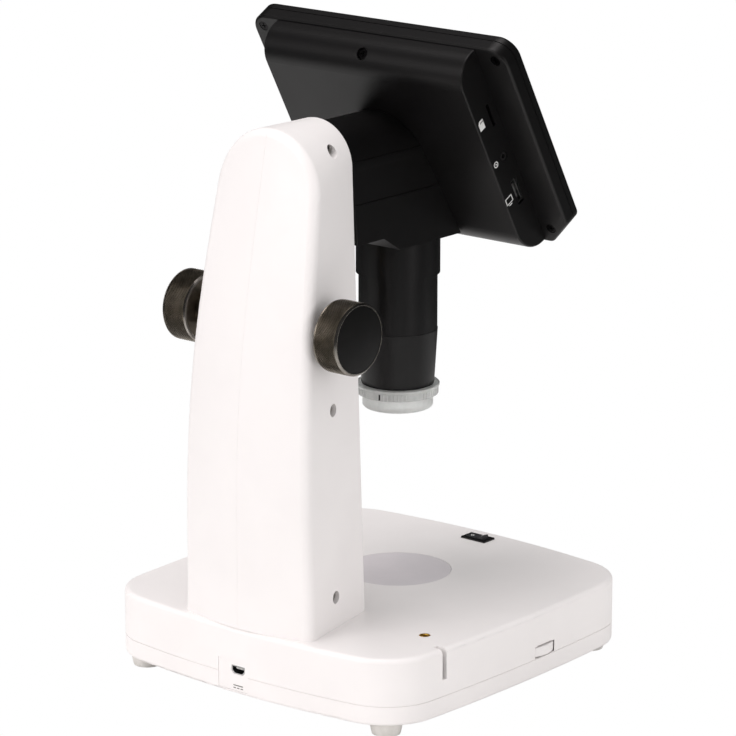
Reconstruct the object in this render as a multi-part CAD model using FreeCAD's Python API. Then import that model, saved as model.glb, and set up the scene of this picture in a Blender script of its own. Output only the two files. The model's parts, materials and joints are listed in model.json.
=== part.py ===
import FreeCAD, Part
import math
import os

os.makedirs("parts", exist_ok=True)
Vec = FreeCAD.Vector

# Sizes in millimetres, origin at the base's centre on the table, screen side towards -Y

# clearances
running_gap = 0.05
sliding_gap = 0.15
fit_gap = 0.1
thread_gap = 0.02
part_line = 0.05
over = 1.0  # how far a cutting shape runs past the face it opens

# base
base_width = 178.0
base_depth = 184.0
base_side_bow = 3.6
base_end_bow = 8.2
base_corner_r = 27.0
base_height = 30.5
base_wall = 2.5
base_top_round = 2.2
base_inner_round = 1.0
base_bottom_round = 1.5
tray_height = 8.75
part_groove = 0.3
foot_height = 6.5
foot_top_r = 7.5
foot_bottom_r = 6.5
foot_edge_round = 0.8
foot_recess = 1.0
foot_inset = 18.0
tray_screw_inset = 34.0
tray_boss_r = 4.0
tray_boss_gap = 0.2
tray_screw_r = 1.3
tray_screw_hole_r = 1.7
tray_screw_head_r = 2.8
tray_screw_head = 1.8
tray_screw_length = 14.0
tray_screw_pocket_r = 3.2
tray_screw_pocket = 3.0

# stage
stage_y = -20.0
stage_r = 25.0
stage_thickness = 3.0
stage_ledge = 2.5
stage_ledge_thickness = 2.0
stage_ring_wall = 3.0
stage_edge_round = 0.4
light_board_drop = 12.0
light_board_thickness = 1.6
light_board_r = 22.0
light_post_circle_r = 18.0
light_post_count = 3
led_size = 3.0
led_height = 1.2
led_circle_r = 11.0
led_count = 6

# power switch and brightness wheel
switch_inset = 12.0
switch_length = 14.0
switch_width = 8.0
switch_flange = 1.0
switch_lip = 1.0
switch_floor = 1.5
switch_rise = 0.8
switch_depth = 9.0
rocker_length = 10.4
rocker_width = 4.8
rocker_tilt_deg = 7.0
rocker_end_gap = 0.3
rocker_side_gap = 0.2
rocker_pin_r = 0.9
rocker_pivot_drop = 2.6
rocker_dip = 0.8
rocker_shoulder = 0.6
rocker_slant = 0.4
rocker_tail = 1.9
rocker_tail_half = 2.4
wheel_back_of_stage = 4.0
wheel_centre_z = 18.4
wheel_r = 16.0
wheel_stands_out = 1.0
wheel_rim_gap = 0.5
wheel_thickness = 4.4
wheel_window_height = 6.0
wheel_window_length = 15.0
wheel_pin_r = 1.5
wheel_pin_collar = 1.6
wheel_pin_rise = 1.5
wheel_end_gap = 0.3
wheel_edge_round = 0.6

# sockets on the base
accessory_side_inset = 20.0
accessory_back_inset = 47.0
accessory_wall = 2.0
accessory_outer_r = 2.6
accessory_hole_r = 1.5
accessory_length = 9.0
side_slot_back_inset = 38.0
side_slot_width = 2.7
side_slot_depth = 7.0
side_slot_bottom_z = 23.0
port_plate_x = 2.4
port_plate_width = 17.4
port_plate_height = 13.8
port_plate_set_back = 0.3
usb_x = -0.4
usb_rise = 11.2
usb_width = 7.7
usb_height = 3.9
usb_taper = 1.3
usb_depth = 9.0
usb_skin = 0.4
usb_floor = 1.2
usb_tongue_half = 2.2
usb_tongue_low = 0.1
usb_tongue_thickness = 0.8
usb_leg_half = 2.4
usb_leg_length = 3.5
usb_set_back = 0.5

# boards and battery in the base
board_thickness = 1.6
post_r = 2.6
post_height = 4.0
battery_length = 44.0
battery_width = 36.0
battery_height = 9.0
battery_round = 2.0
battery_rib = 2.0
battery_x = 49.0
battery_front_inset = 62.0
base_board_length = 62.0
base_board_width = 44.0
base_board_back_gap = 6.0
board_post_inset = 5.0

# column
column_wall = 2.5
column_back_inset = 0.7
column_depth = 55.8
column_front_half = 27.0
column_front_arch_r = 20.0
column_side_depth = 48.5
column_back_half = 37.4
column_back_arch_r = 33.4
column_top_z = 258.8
column_bend_z = 90.0
column_bend_height = 110.0
column_lean_deg = 11.0
column_back_bow_r = 115.0
column_edge_round = 4.0
column_front_round = 1.2
column_slot_half = 10.5
column_slot_bottom_z = 146.0
column_slot_top_z = 240.0
column_screw_places = ((26.5, 51.0), (25.0, 136.0), (13.5, 248.2))  # behind the front face, and the height
column_boss_r = 3.4
column_screw_r = 1.5
column_screw_head_r = 2.7
column_screw_head = 1.6
column_screw_recess_gap = 0.2
column_screw_reach = 10.0
column_screw_head_drop = 4.0
foot_boss_places = ((24.0, 14.5), (28.5, 36.5))  # to each side, and behind the front face
foot_boss_r = 4.2
foot_boss_height = 20.0
foot_screw_r = 1.4
foot_screw_head_r = 3.2
foot_screw_head = 2.0
foot_screw_length = 15.0
foot_screw_hole_r = 1.9
cable_hole_r = 7.0
cable_hole_behind_front = 26.5

# focus drive
travel = 55.0
shaft_behind_front = 32.0
shaft_z = 172.7
shaft_r = 4.0
shaft_end_inset = 3.0
gear_module = 1.0
pinion_teeth = 26
pinion_width = 8.0
pinion_hub_wall = 2.5
pinion_hub_length = 5.0
gear_pressure_deg = 20.0
gear_backlash = 0.3
gear_centre_gap = 0.1
gear_addendum = 0.9
gear_dedendum = 1.3
knob_r = 16.1
knob_width = 13.4
knob_outer_x = 50.5
knob_chamfer = 0.8
knob_hub_r = 8.0
knob_disc_r = 14.8
knob_disc_thickness = 1.0
knob_end_gap = 0.3
bush_r = 6.9
bush_flange_r = 7.4
bush_flange = 2.6
bush_stands_out = 2.2
bush_inner_x = 21.0
rack_width = 8.0
rack_back = 5.0
rack_spare = 6.0
rod_x = 11.0
rod_behind_front = 9.5
rod_r = 3.0
rod_bottom_z = 97.0
bracket_thickness = 5.0
bracket_depth = 11.0
top_bracket_half = 17.5
bottom_bracket_half = 23.0
bracket_rib_height = 3.0
top_rib_x = 16.5
bottom_rib_x = 17.0
bracket_top_z = 241.0
carriage_half = 16.0
carriage_bottom_z = 195.0
carriage_top_z = 232.0
neck_half = 9.5
neck_bottom_z = 211.0
neck_top_z = 230.0
neck_flange = 4.0
neck_flange_lip = 3.5
carriage_screw_r = 1.0
carriage_screw_head_r = 1.6
carriage_screw_head = 1.2
carriage_gap = 2.0
neck_wire_half = 3.5
neck_wire_drop = 8.0
neck_wire_height = 5.0

# arm between the column and the display
arm_gap = 0.5
arm_wall = 2.5
arm_skin = 0.5
arm_reach = 140.0
arm_arch_r = 19.5
arm_top_z = 256.0
arm_half_bottom = 23.0
arm_back_bottom_z = 204.0
arm_front_bottom_z = 197.2
arm_slope_back_y = 17.0
arm_slope_front_y = 6.5
arm_upper_line_z = 240.5
arm_lower_line_z = 221.5
arm_line_groove = 0.35

# barrel
barrel_y = -20.0
collar_r = 19.2
collar_bottom_z = 179.0
body_r = 18.0
body_bottom_z = 152.7
body_bore_r = 13.6
spigot_r = 15.9
body_top_z = 201.0
nose_top_r = 18.2
nose_bottom_r = 16.7
nose_bottom_z = 127.2
nose_spigot_r = 14.2
nose_spigot_bottom_z = 121.5
nose_bore_r = 12.6
ring_r = 19.2
ring_bottom_z = 122.2
ring_rib_depth = 0.5
ring_flange = 1.2
ring_top_gap = 0.2
cup_r = 16.2
cup_wall = 1.2
cup_edge_round = 0.5
cup_bottom_z = 115.8
lens_cell_r = 8.0
lens_cell_bottom_z = 123.5
lens_cell_top_z = 150.0
lens_r = 5.5
lens_edge = 1.2
lens_sag = 0.9
lens_recess = 0.2
lens_web_rise = 8.0
lens_web_thickness = 3.0
ring_board_thickness = 1.2
nose_led_circle_r = 10.2
nose_led_size = 1.8
nose_led_height = 1.0
nose_led_count = 8
sensor_board_half = 13.0
sensor_board_front = 11.0
sensor_chip_half = 5.5
sensor_chip_height = 1.2

# display head
display_width = 146.0
display_height = 110.0
display_tilt_deg = 29.1
display_top_y = -11.0
display_top_z = 296.1
display_corner_r = 9.0
display_low_corner = 12.0
display_low_round = 4.0
bezel_thickness = 4.0
bezel_face = 2.4
bezel_round = 1.4
ledge_depth = 10.3
ledge_round = 1.2
housing_groove = 0.4
shell_wall = 2.2
hump_half = 57.0
hump_depth = 25.5
hump_top = 1.2
hump_bottom = 109.0
hump_top_round = 12.0
hump_bottom_round = 15.0
hump_side_round = 0.7
button_names = ("button_power", "button_menu", "button_up", "button_down", "button_capture")
screen_width = 101.6
screen_height = 76.2
screen_top = 11.0
glass_thickness = 1.4
glass_sink = 0.3
panel_margin = 4.0
panel_thickness = 3.6
panel_edge = 0.5
main_board_width = 106.0
main_board_height = 84.0
main_board_depth = 19.6
main_board_drop = 12.0
main_board_post_inset = 6.0
key_board_width = 86.0
key_board_height = 11.0
key_board_rest = 3.0
key_board_rest_half = 4.0
button_row = 98.5
button_pitch = 16.0
button_r = 4.4
button_rise = 0.9
button_flange_r = 5.6
button_flange = 0.8
button_end_gap = 0.3
button_edge_round = 0.5
button_travel = 0.7
ledge_screw_x = 66.7
ledge_screw_top = 6.0
ledge_screw_bottom_x = 63.0
ledge_screw_bottom = 101.5
ledge_screw_r = 1.3
ledge_screw_head_r = 2.4
ledge_screw_head = 1.2
ledge_screw_sink = 1.4
ledge_screw_length = 6.0
ledge_boss_wall = 1.8
hump_boss_r = 4.0
hump_screw_angle_deg = 52.0
hump_screw_recess_r = 2.9
hump_screw_recess = 2.2
hump_screw_length = 7.0
card_slot_top = 28.0
card_slot_length = 11.6
card_slot_height = 1.7
card_depth = 15.1
card_socket_size = 14.0
av_place = 55.9
av_depth = 16.4
av_r = 1.9
av_body = 5.0
av_length = 11.0
av_wall = 0.7
video_slot_top = 69.4
video_slot_length = 13.2
video_slot_height = 4.0
video_depth = 16.0
video_socket_size = 9.0
video_sink = 0.8
video_skin = 0.5
video_tongue_inset = 2.5
wire_window_size = 18.0
wire_window_drop = 69.0
arm_screw_x = 13.0
arm_screw_drops = (46.0, 82.0)
arm_screw_r = 1.4
arm_screw_head_r = 2.6
arm_screw_head = 1.6
arm_screw_length = 5.0

# places worked out from the sizes above
base_bottom_z = foot_height
tray_top_z = base_bottom_z + tray_height
base_top_z = base_bottom_z + base_height
base_floor_z = base_bottom_z + base_wall
base_back_y = base_depth / 2
base_board_y = base_back_y - base_board_back_gap - base_board_width / 2
switch_y = switch_inset - base_depth / 2
wheel_y = stage_y + wheel_back_of_stage
battery_y = battery_front_inset - base_depth / 2
accessory_x = accessory_side_inset - base_width / 2
accessory_y = base_back_y - accessory_back_inset
side_slot_y = base_back_y - side_slot_back_inset
column_spine_y = base_back_y - column_back_inset
column_front_y = column_spine_y - column_depth
column_back_y = column_front_y + column_side_depth
cable_hole_y = column_front_y + cable_hole_behind_front
shaft_y = column_front_y + shaft_behind_front
rod_y = column_front_y + rod_behind_front
pinion_r = gear_module * pinion_teeth / 2
rack_line_y = shaft_y - pinion_r - gear_centre_gap
knob_inner_x = knob_outer_x - knob_width
arm_back_y = column_front_y - arm_gap
carriage_front_y = column_front_y + column_wall + carriage_gap
flange_back_y = arm_back_y - arm_wall - fit_gap
display_place = FreeCAD.Placement(
    Vec(0, display_top_y, display_top_z),
    FreeCAD.Rotation(Vec(1, 0, 0), 90 - display_tilt_deg),
)
X = Vec(1, 0, 0)
Y = Vec(0, 1, 0)
Z = Vec(0, 0, 1)


def box(x0, x1, y0, y1, z0, z1):
    return Part.makeBox(x1 - x0, y1 - y0, z1 - z0, Vec(x0, y0, z0))


def rod(radius, start, direction, length):
    return Part.makeCylinder(radius, length, start, direction)


def tube(outer_r, inner_r, start, direction, length):
    return rod(outer_r, start, direction, length).cut(rod(inner_r, start, direction, length))


def prism(points, direction):
    wire = Part.makePolygon(list(points) + [points[0]])
    return Part.Face(wire).extrude(direction)


def mirrored(shape):
    return shape.mirror(Vec(0, 0, 0), X)


def fused(shapes):
    result = shapes[0]
    for shape in shapes[1:]:
        result = result.fuse(shape)
    return result.removeSplitter()


def group(shapes):
    return Part.makeCompound(shapes)


# everything between two heights
def slab_between(z0, z1):
    return box(-base_width, base_width, -base_depth, base_depth, z0, z1)


def on_display(shape):
    moved = shape.copy()
    moved.Placement = display_place.multiply(moved.Placement)
    return moved


def save(name, shape):
    shape.exportStep("parts/" + name + ".step")
    print(name, "solids", len(shape.Solids), "volume", round(shape.Volume, 1), "valid", shape.isValid())


# outline of the base: four bowed sides with large round corners
def base_block(inset, z0, z1):
    half_x = base_width / 2 - inset
    half_y = base_depth / 2 - inset
    corners = []
    for sx, sy in ((1, 1), (-1, 1), (-1, -1), (1, -1)):
        corners.append(Vec(sx * (half_x - base_side_bow), sy * (half_y - base_end_bow), z0))
    middles = (Vec(0, half_y, z0), Vec(-half_x, 0, z0), Vec(0, -half_y, z0), Vec(half_x, 0, z0))
    edges = []
    for i in range(4):
        edges.append(Part.Arc(corners[i], middles[i], corners[(i + 1) % 4]).toShape())
    block = Part.Face(Part.Wire(edges)).extrude(Vec(0, 0, z1 - z0))
    upright = [e for e in block.Edges if abs(e.Vertexes[0].Z - e.Vertexes[-1].Z) > (z1 - z0) / 2]
    return block.makeFillet(base_corner_r - inset, upright)


def level_edges(shape, z):
    level = [e for e in shape.Edges if e.BoundBox.ZLength < 1e-4]
    return [e for e in level if abs(e.Vertexes[0].Z - z) < 1e-4]


def base_outer():
    block = base_block(0, base_bottom_z, base_top_z)
    block = block.makeFillet(base_top_round, level_edges(block, base_top_z))
    return block.makeFillet(base_bottom_round, level_edges(block, base_bottom_z))


def corner_places(inset):
    half_x = base_width / 2 - inset
    half_y = base_depth / 2 - inset
    return [(sx * half_x, sy * half_y) for sx in (1, -1) for sy in (1, -1)]


def port_plate_box(gap):
    half = port_plate_width / 2 + gap
    low = base_bottom_z + base_bottom_round
    return box(port_plate_x - half, port_plate_x + half, base_back_y - base_wall - gap, base_back_y + over,
               low - gap, low + port_plate_height + gap)


def wheel_centre():
    return Vec(-base_width / 2 - wheel_stands_out + wheel_r, wheel_y, wheel_centre_z)


def wheel_window():
    half = wheel_window_length / 2 - wheel_window_height / 2
    x0 = -base_width / 2 - over
    depth = base_wall + 2 * over
    middle = box(x0, x0 + depth, wheel_y - half, wheel_y + half,
                 wheel_centre_z - wheel_window_height / 2, wheel_centre_z + wheel_window_height / 2)
    radius = wheel_window_height / 2
    ends = [rod(radius, Vec(x0, wheel_y + s * half, wheel_centre_z), X, depth) for s in (1, -1)]
    return fused([middle] + ends)


# room for the wheel's rim in the shell's wall
def wheel_pocket():
    thickness = wheel_thickness + 2 * wheel_rim_gap
    return rod(wheel_r + wheel_rim_gap, wheel_centre() - Vec(0, 0, thickness / 2), Z, thickness)


def light_board_z():
    return base_top_z - light_board_drop


def base_top_shell():
    shell = base_outer().common(slab_between(tray_top_z, base_top_z + over))
    hollow = base_block(base_wall, tray_top_z - over, base_top_z - base_wall)
    hollow = hollow.makeFillet(base_inner_round, level_edges(hollow, base_top_z - base_wall))
    shell = shell.cut(hollow)
    groove_top = tray_top_z + part_groove
    groove = base_block(0, tray_top_z, groove_top).cut(base_block(part_groove, tray_top_z, groove_top))
    shell = shell.cut(groove)
    ledge_bottom = base_top_z - stage_thickness - stage_ledge_thickness
    ring = tube(stage_r + stage_ring_wall, stage_r - stage_ledge, Vec(0, stage_y, ledge_bottom), Z,
                base_top_z - base_wall / 2 - ledge_bottom)
    bosses = []
    for x, y in corner_places(tray_screw_inset):
        low = tray_top_z + tray_boss_gap
        bosses.append(rod(tray_boss_r, Vec(x, y, low), Z, base_top_z - base_wall / 2 - low))
    boss_low = base_top_z - accessory_length - accessory_wall
    socket_boss = rod(accessory_outer_r + accessory_wall, Vec(accessory_x, accessory_y, boss_low), Z,
                      base_top_z - base_wall / 2 - boss_low)
    shell = fused([shell, ring, socket_boss] + bosses)
    through = base_wall + 2 * over
    cuts = [rod(stage_r + fit_gap, Vec(0, stage_y, base_top_z - stage_thickness), Z, stage_thickness + over)]
    well = Vec(0, stage_y, ledge_bottom - over)
    cuts.append(rod(stage_r - stage_ledge, well, Z, stage_thickness + 2 * over))
    half_x = switch_length / 2 - switch_lip
    half_y = switch_width / 2 - switch_lip
    cuts.append(box(-half_x, half_x, switch_y - half_y, switch_y + half_y, base_top_z - base_wall - over,
                    base_top_z + over))
    cuts.append(rod(accessory_outer_r, Vec(accessory_x, accessory_y, base_top_z - accessory_length), Z,
                    accessory_length + over))
    cuts.append(port_plate_box(fit_gap))
    cuts.append(wheel_window())
    cuts.append(wheel_pocket())
    side_x = -base_width / 2
    half_y = side_slot_width / 2
    cuts.append(box(side_x - over, side_x + side_slot_depth, side_slot_y - half_y, side_slot_y + half_y,
                    side_slot_bottom_z, base_top_z + over))
    cuts.append(rod(cable_hole_r, Vec(0, cable_hole_y, base_top_z - base_wall - over), Z, through))
    for x, y in corner_places(tray_screw_inset):
        cuts.append(rod(tray_screw_r, Vec(x, y, tray_top_z), Z, tray_screw_length))
    for x, y in foot_screw_places():
        cuts.append(rod(foot_screw_hole_r, Vec(x, y, base_top_z - base_wall - over), Z, through))
    return shell.cut(group(cuts))


def base_bottom_tray():
    tray = base_outer().common(slab_between(base_bottom_z - over, tray_top_z))
    tray = tray.cut(base_block(base_wall, base_floor_z, tray_top_z + over))
    root_z = base_floor_z - base_wall / 2
    adds = []
    for x, y in corner_places(tray_screw_inset):
        adds.append(rod(tray_boss_r, Vec(x, y, root_z), Z, tray_top_z - root_z))
    for x, y in light_posts():
        adds.append(rod(post_r, Vec(x, y, root_z), Z, light_board_z() - light_board_thickness - root_z))
    for x, y in base_board_posts():
        adds.append(rod(post_r, Vec(x, y, root_z), Z, base_floor_z + post_height - root_z))
    pin_root = Vec(wheel_centre().x, wheel_y, root_z)
    pin_top = wheel_centre_z + wheel_thickness / 2 + wheel_pin_rise
    collar_top = wheel_centre_z - wheel_thickness / 2 - wheel_end_gap
    adds.append(rod(wheel_pin_r, pin_root, Z, pin_top - root_z))
    adds.append(rod(wheel_pin_r + wheel_pin_collar, pin_root, Z, collar_top - root_z))
    rib_gap = battery_width / 2 + sliding_gap
    for y in (battery_y - rib_gap - battery_rib, battery_y + rib_gap):
        adds.append(box(battery_x - battery_length / 4, battery_x + battery_length / 4, y, y + battery_rib,
                        root_z, base_floor_z + battery_height / 2))
    tray = fused([tray] + adds)
    cuts = [port_plate_box(fit_gap), wheel_window()]
    for x, y in corner_places(foot_inset):
        cuts.append(rod(foot_top_r + fit_gap, Vec(x, y, base_bottom_z - over), Z, over + foot_recess))
    for x, y in corner_places(tray_screw_inset):
        start = Vec(x, y, base_bottom_z - over)
        cuts.append(rod(tray_screw_hole_r, start, Z, tray_height + 2 * over))
        cuts.append(rod(tray_screw_pocket_r, start, Z, over + tray_screw_pocket))
    return tray.cut(group(cuts))


def rubber_feet():
    feet = []
    for x, y in corner_places(foot_inset):
        foot = Part.makeCone(foot_bottom_r, foot_top_r, foot_height, Vec(x, y, 0), Z)
        foot = foot.makeFillet(foot_edge_round, [e for e in foot.Edges if abs(e.BoundBox.ZMax) < 1e-4])
        plug = rod(foot_top_r, Vec(x, y, foot_height), Z, foot_recess)
        feet.append(foot.fuse(plug).removeSplitter())
    return group(feet)


def screw(radius, head_r, head_height, length, seat, direction):
    head = rod(head_r, seat, direction.negative(), head_height)
    slot_a = Part.makeBox(head_r * 1.2, 0.5, head_height * 0.6, Vec(-head_r * 0.6, -0.25, head_height * 0.4))
    slot_b = Part.makeBox(0.5, head_r * 1.2, head_height * 0.6, Vec(-0.25, -head_r * 0.6, head_height * 0.4))
    cross = slot_a.fuse(slot_b)
    cross.Placement = FreeCAD.Placement(seat, FreeCAD.Rotation(Z, direction.negative()))
    return head.fuse(rod(radius, seat, direction, length)).removeSplitter().cut(cross)


def tray_screws():
    sizes = (tray_screw_r, tray_screw_head_r, tray_screw_head, tray_screw_length)
    seat_z = base_bottom_z + tray_screw_pocket
    return group([screw(*sizes, Vec(x, y, seat_z), Z) for x, y in corner_places(tray_screw_inset)])


def stage_diffuser():
    plate = rod(stage_r, Vec(0, stage_y, base_top_z - stage_thickness), Z, stage_thickness)
    return plate.makeFillet(stage_edge_round, level_edges(plate, base_top_z))


def light_posts():
    places = []
    for i in range(light_post_count):
        a = math.radians(90 + 360.0 / light_post_count * i)
        places.append((light_post_circle_r * math.cos(a), stage_y + light_post_circle_r * math.sin(a)))
    return places


def stage_light_board():
    start = Vec(0, stage_y, light_board_z() - light_board_thickness)
    return rod(light_board_r, start, Z, light_board_thickness)


def stage_leds():
    leds = []
    for i in range(led_count):
        a = math.radians(360.0 / led_count * i)
        x = led_circle_r * math.cos(a)
        y = stage_y + led_circle_r * math.sin(a)
        leds.append(box(x - led_size / 2, x + led_size / 2, y - led_size / 2, y + led_size / 2,
                        light_board_z(), light_board_z() + led_height))
    return group(leds)


def base_board_posts():
    half_x = base_board_length / 2 - board_post_inset
    half_y = base_board_width / 2 - board_post_inset
    return [(sx * half_x, base_board_y + sy * half_y) for sx in (1, -1) for sy in (1, -1)]


def base_circuit_board():
    z0 = base_floor_z + post_height
    board = box(-base_board_length / 2, base_board_length / 2, base_board_y - base_board_width / 2,
                base_board_y + base_board_width / 2, z0, z0 + board_thickness)
    return board


def battery_pack():
    z0 = base_floor_z
    pack = box(battery_x - battery_length / 2, battery_x + battery_length / 2, battery_y - battery_width / 2,
               battery_y + battery_width / 2, z0, z0 + battery_height)
    return pack.makeFillet(battery_round, pack.Edges)


def power_switch_frame():
    half_x = switch_length / 2
    half_y = switch_width / 2
    flange_z = base_top_z + switch_flange
    flange = box(-half_x, half_x, switch_y - half_y, switch_y + half_y, base_top_z, flange_z)
    flange = flange.makeFillet(0.5, level_edges(flange, flange_z))
    half_x = switch_length / 2 - switch_lip - fit_gap
    half_y = switch_width / 2 - switch_lip - fit_gap
    body = box(-half_x, half_x, switch_y - half_y, switch_y + half_y, base_top_z - switch_depth,
               base_top_z + switch_flange / 2)
    frame = flange.fuse(body)
    well_x = rocker_length / 2 + rocker_end_gap
    well_y = rocker_width / 2 + rocker_side_gap
    floor_z = base_top_z - switch_depth + switch_floor
    well = box(-well_x, well_x, switch_y - well_y, switch_y + well_y, floor_z, flange_z + over)
    pin_y = well_y + rocker_side_gap
    pin = rod(rocker_pin_r, Vec(0, switch_y - pin_y, rocker_pivot_z()), Y, 2 * pin_y)
    return frame.cut(well).fuse(pin).removeSplitter()


def rocker_pivot_z():
    return base_top_z - rocker_pivot_drop


def power_rocker():
    width = rocker_width
    y0 = switch_y - width / 2
    top = base_top_z + switch_flange + switch_rise
    half = rocker_length / 2
    low = rocker_pivot_z() - rocker_tail
    shoulder = rocker_pivot_z() + rocker_shoulder
    points = [Vec(-half, y0, shoulder), Vec(rocker_slant - half, y0, top), Vec(0, y0, top - rocker_dip),
              Vec(half - rocker_slant, y0, top), Vec(half, y0, shoulder), Vec(rocker_tail_half, y0, low),
              Vec(-rocker_tail_half, y0, low)]
    body = prism(points, Vec(0, width, 0))
    body = body.cut(rod(rocker_pin_r + running_gap, Vec(0, y0 - over, rocker_pivot_z()), Y, width + 2 * over))
    body.rotate(Vec(0, switch_y, rocker_pivot_z()), Y, rocker_tilt_deg)
    return body


def brightness_wheel():
    centre = wheel_centre()
    start = centre - Vec(0, 0, wheel_thickness / 2)
    wheel = rod(wheel_r, start, Z, wheel_thickness)
    wheel = wheel.makeFillet(wheel_edge_round, [e for e in wheel.Edges if e.BoundBox.ZLength < 1e-4])
    return wheel.cut(rod(wheel_pin_r + running_gap, start - Vec(0, 0, over), Z, wheel_thickness + 2 * over))


def accessory_socket():
    start = Vec(accessory_x, accessory_y, base_top_z - accessory_length)
    return tube(accessory_outer_r, accessory_hole_r, start, Z, accessory_length)


def usb_profile(inset, y):
    half = usb_width / 2 - inset
    low = half - usb_taper
    z1 = usb_centre_z() + usb_height / 2 - inset
    z0 = usb_centre_z() - usb_height / 2 + inset
    return [Vec(usb_x - low, y, z0), Vec(usb_x - half, y, z0 + usb_taper), Vec(usb_x - half, y, z1),
            Vec(usb_x + half, y, z1), Vec(usb_x + half, y, z0 + usb_taper), Vec(usb_x + low, y, z0)]


def usb_centre_z():
    return base_bottom_z + usb_rise


def port_plate():
    plate = port_plate_box(0).common(box(-base_width, base_width, base_back_y - base_wall,
                                         base_back_y - port_plate_set_back, 0, base_top_z))
    opening = prism(usb_profile(-fit_gap, base_back_y - base_wall - over), Vec(0, base_wall + 2 * over, 0))
    return plate.cut(opening)


def usb_power_socket():
    y0 = base_back_y - usb_set_back - usb_depth
    outer = prism(usb_profile(0, y0), Vec(0, usb_depth, 0))
    inner = prism(usb_profile(usb_skin, y0 + usb_floor), Vec(0, usb_depth, 0))
    tongue_z = usb_centre_z() + usb_tongue_low
    tongue = box(usb_x - usb_tongue_half, usb_x + usb_tongue_half, y0 + usb_floor / 2,
                 y0 + usb_depth - usb_floor, tongue_z, tongue_z + usb_tongue_thickness)
    leg_top = usb_centre_z() - usb_height / 2 + usb_skin / 2
    leg_bottom = base_floor_z + post_height + board_thickness
    leg = box(usb_x - usb_leg_half, usb_x + usb_leg_half, y0, y0 + usb_leg_length, leg_bottom, leg_top)
    return fused([outer.cut(inner), tongue, leg])


# the spine's distance from the middle at a height: upright, then a bend, then a straight lean
def spine_y(z):
    lean = math.radians(column_lean_deg)
    bend_r = column_bend_height / math.sin(lean)
    if z <= column_bend_z:
        return column_spine_y
    if z <= column_bend_z + column_bend_height:
        rise = z - column_bend_z
        return column_spine_y - bend_r + math.sqrt(bend_r * bend_r - rise * rise)
    bent = bend_r * (1 - math.cos(lean))
    return column_spine_y - bent - (z - column_bend_z - column_bend_height) * math.tan(lean)


def arch_wire(y, half, radius, top, bottom):
    centre = top - radius
    foot_right = Vec(half, y, bottom)
    foot_left = Vec(-half, y, bottom)
    right = Vec(radius, y, centre)
    left = Vec(-radius, y, centre)
    edges = [Part.makeLine(foot_left, foot_right), Part.makeLine(foot_right, right),
             Part.Arc(right, Vec(0, y, top), left).toShape(), Part.makeLine(left, foot_left)]
    return Part.Wire(edges)


def column_solid(inset, bottom):
    reach = 110.0
    depth = column_back_y - column_front_y
    k = (reach - column_front_y) / depth
    front = arch_wire(column_front_y + inset, column_front_half - inset, column_front_arch_r - inset,
                      column_top_z - inset, bottom)
    back = arch_wire(reach, column_front_half + (column_back_half - column_front_half) * k - inset,
                     column_front_arch_r + (column_back_arch_r - column_front_arch_r) * k - inset,
                     column_top_z - inset, bottom)
    body = Part.makeLoft([front, back], True, True)
    sections = []
    heights = [bottom - 1.0, 80.0, column_bend_z]
    steps = 3
    for i in range(1, steps + 1):
        heights.append(column_bend_z + column_bend_height * i / steps)
    heights.append((column_bend_z + column_bend_height + column_top_z) / 2)
    heights.append(column_top_z + 3)
    side = 60.0
    front_line = column_front_y - column_depth / 2
    sag = column_back_bow_r - math.sqrt(column_back_bow_r ** 2 - side ** 2)
    for z in heights:
        y = spine_y(z) - inset
        left = Vec(-side, y - sag, z)
        right = Vec(side, y - sag, z)
        front_left = Vec(-side, front_line, z)
        front_right = Vec(side, front_line, z)
        edges = [Part.makeLine(front_left, front_right), Part.makeLine(front_right, right),
                 Part.Arc(right, Vec(0, y, z), left).toShape(), Part.makeLine(left, front_left)]
        sections.append(Part.Wire(edges))
    return body.common(Part.makeLoft(sections, True, False))


def column_outer():
    outer = column_solid(0, base_top_z)
    back = [e for e in rising_edges(outer) if e.BoundBox.YMin > column_front_y + column_wall]
    outer = outer.makeFillet(column_edge_round, back)
    front = [e for e in rising_edges(outer) if e.BoundBox.YMax < column_front_y + 1e-3]
    return outer.makeFillet(column_front_round, front)


# edges that leave the base's top
def rising_edges(shape):
    return [e for e in shape.Edges if e.BoundBox.ZMax > base_top_z + 1e-3]


def bracket_rib(x0, z0, z1):
    rib = box(x0, 60, rod_y - bracket_depth / 2, rod_y + bracket_depth / 2, z0, z1)
    return rib.common(column_solid(column_wall / 2, base_top_z))


def column_screws_at():
    return [(column_front_y + back, z) for back, z in column_screw_places]


def foot_screw_places():
    return [(s * x, column_front_y + back) for x, back in foot_boss_places for s in (1, -1)]


def column_shell():
    shell = column_outer().cut(column_solid(column_wall, base_top_z - 1))
    inside = column_solid(column_wall / 2, base_top_z)
    adds = []
    for y, z in column_screws_at():
        adds.append(rod(column_boss_r, Vec(-base_width / 2, y, z), X, base_width).common(inside))
    for x, y in foot_screw_places():
        adds.append(rod(foot_boss_r, Vec(x, y, base_top_z), Z, foot_boss_height).common(inside))
    for top, x0 in ((bracket_top_z - bracket_thickness, top_rib_x), (rod_bottom_z, bottom_rib_x)):
        rib = bracket_rib(x0, top - bracket_rib_height, top)
        adds.append(rib)
        adds.append(mirrored(rib))
    shell = fused([shell] + adds)
    cuts = [box(-column_slot_half, column_slot_half, column_front_y - over,
                column_front_y + column_wall + over, column_slot_bottom_z, column_slot_top_z)]
    cuts.append(rod(bush_r + fit_gap / 2, Vec(-base_width / 2, shaft_y, shaft_z), X, base_width))
    for x, y in foot_screw_places():
        cuts.append(rod(foot_screw_r, Vec(x, y, base_top_z - over), Z, foot_screw_length))
    for y, z in column_screws_at():
        seat = Vec(column_screw_seat(y, z), y, z)
        length = column_screw_reach - seat.x + over
        cuts.append(rod(column_screw_head_r + column_screw_recess_gap, seat, X.negative(), base_width))
        cuts.append(rod(column_screw_r, seat - X, X, length + over))
    return shell.cut(group(cuts))


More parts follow.
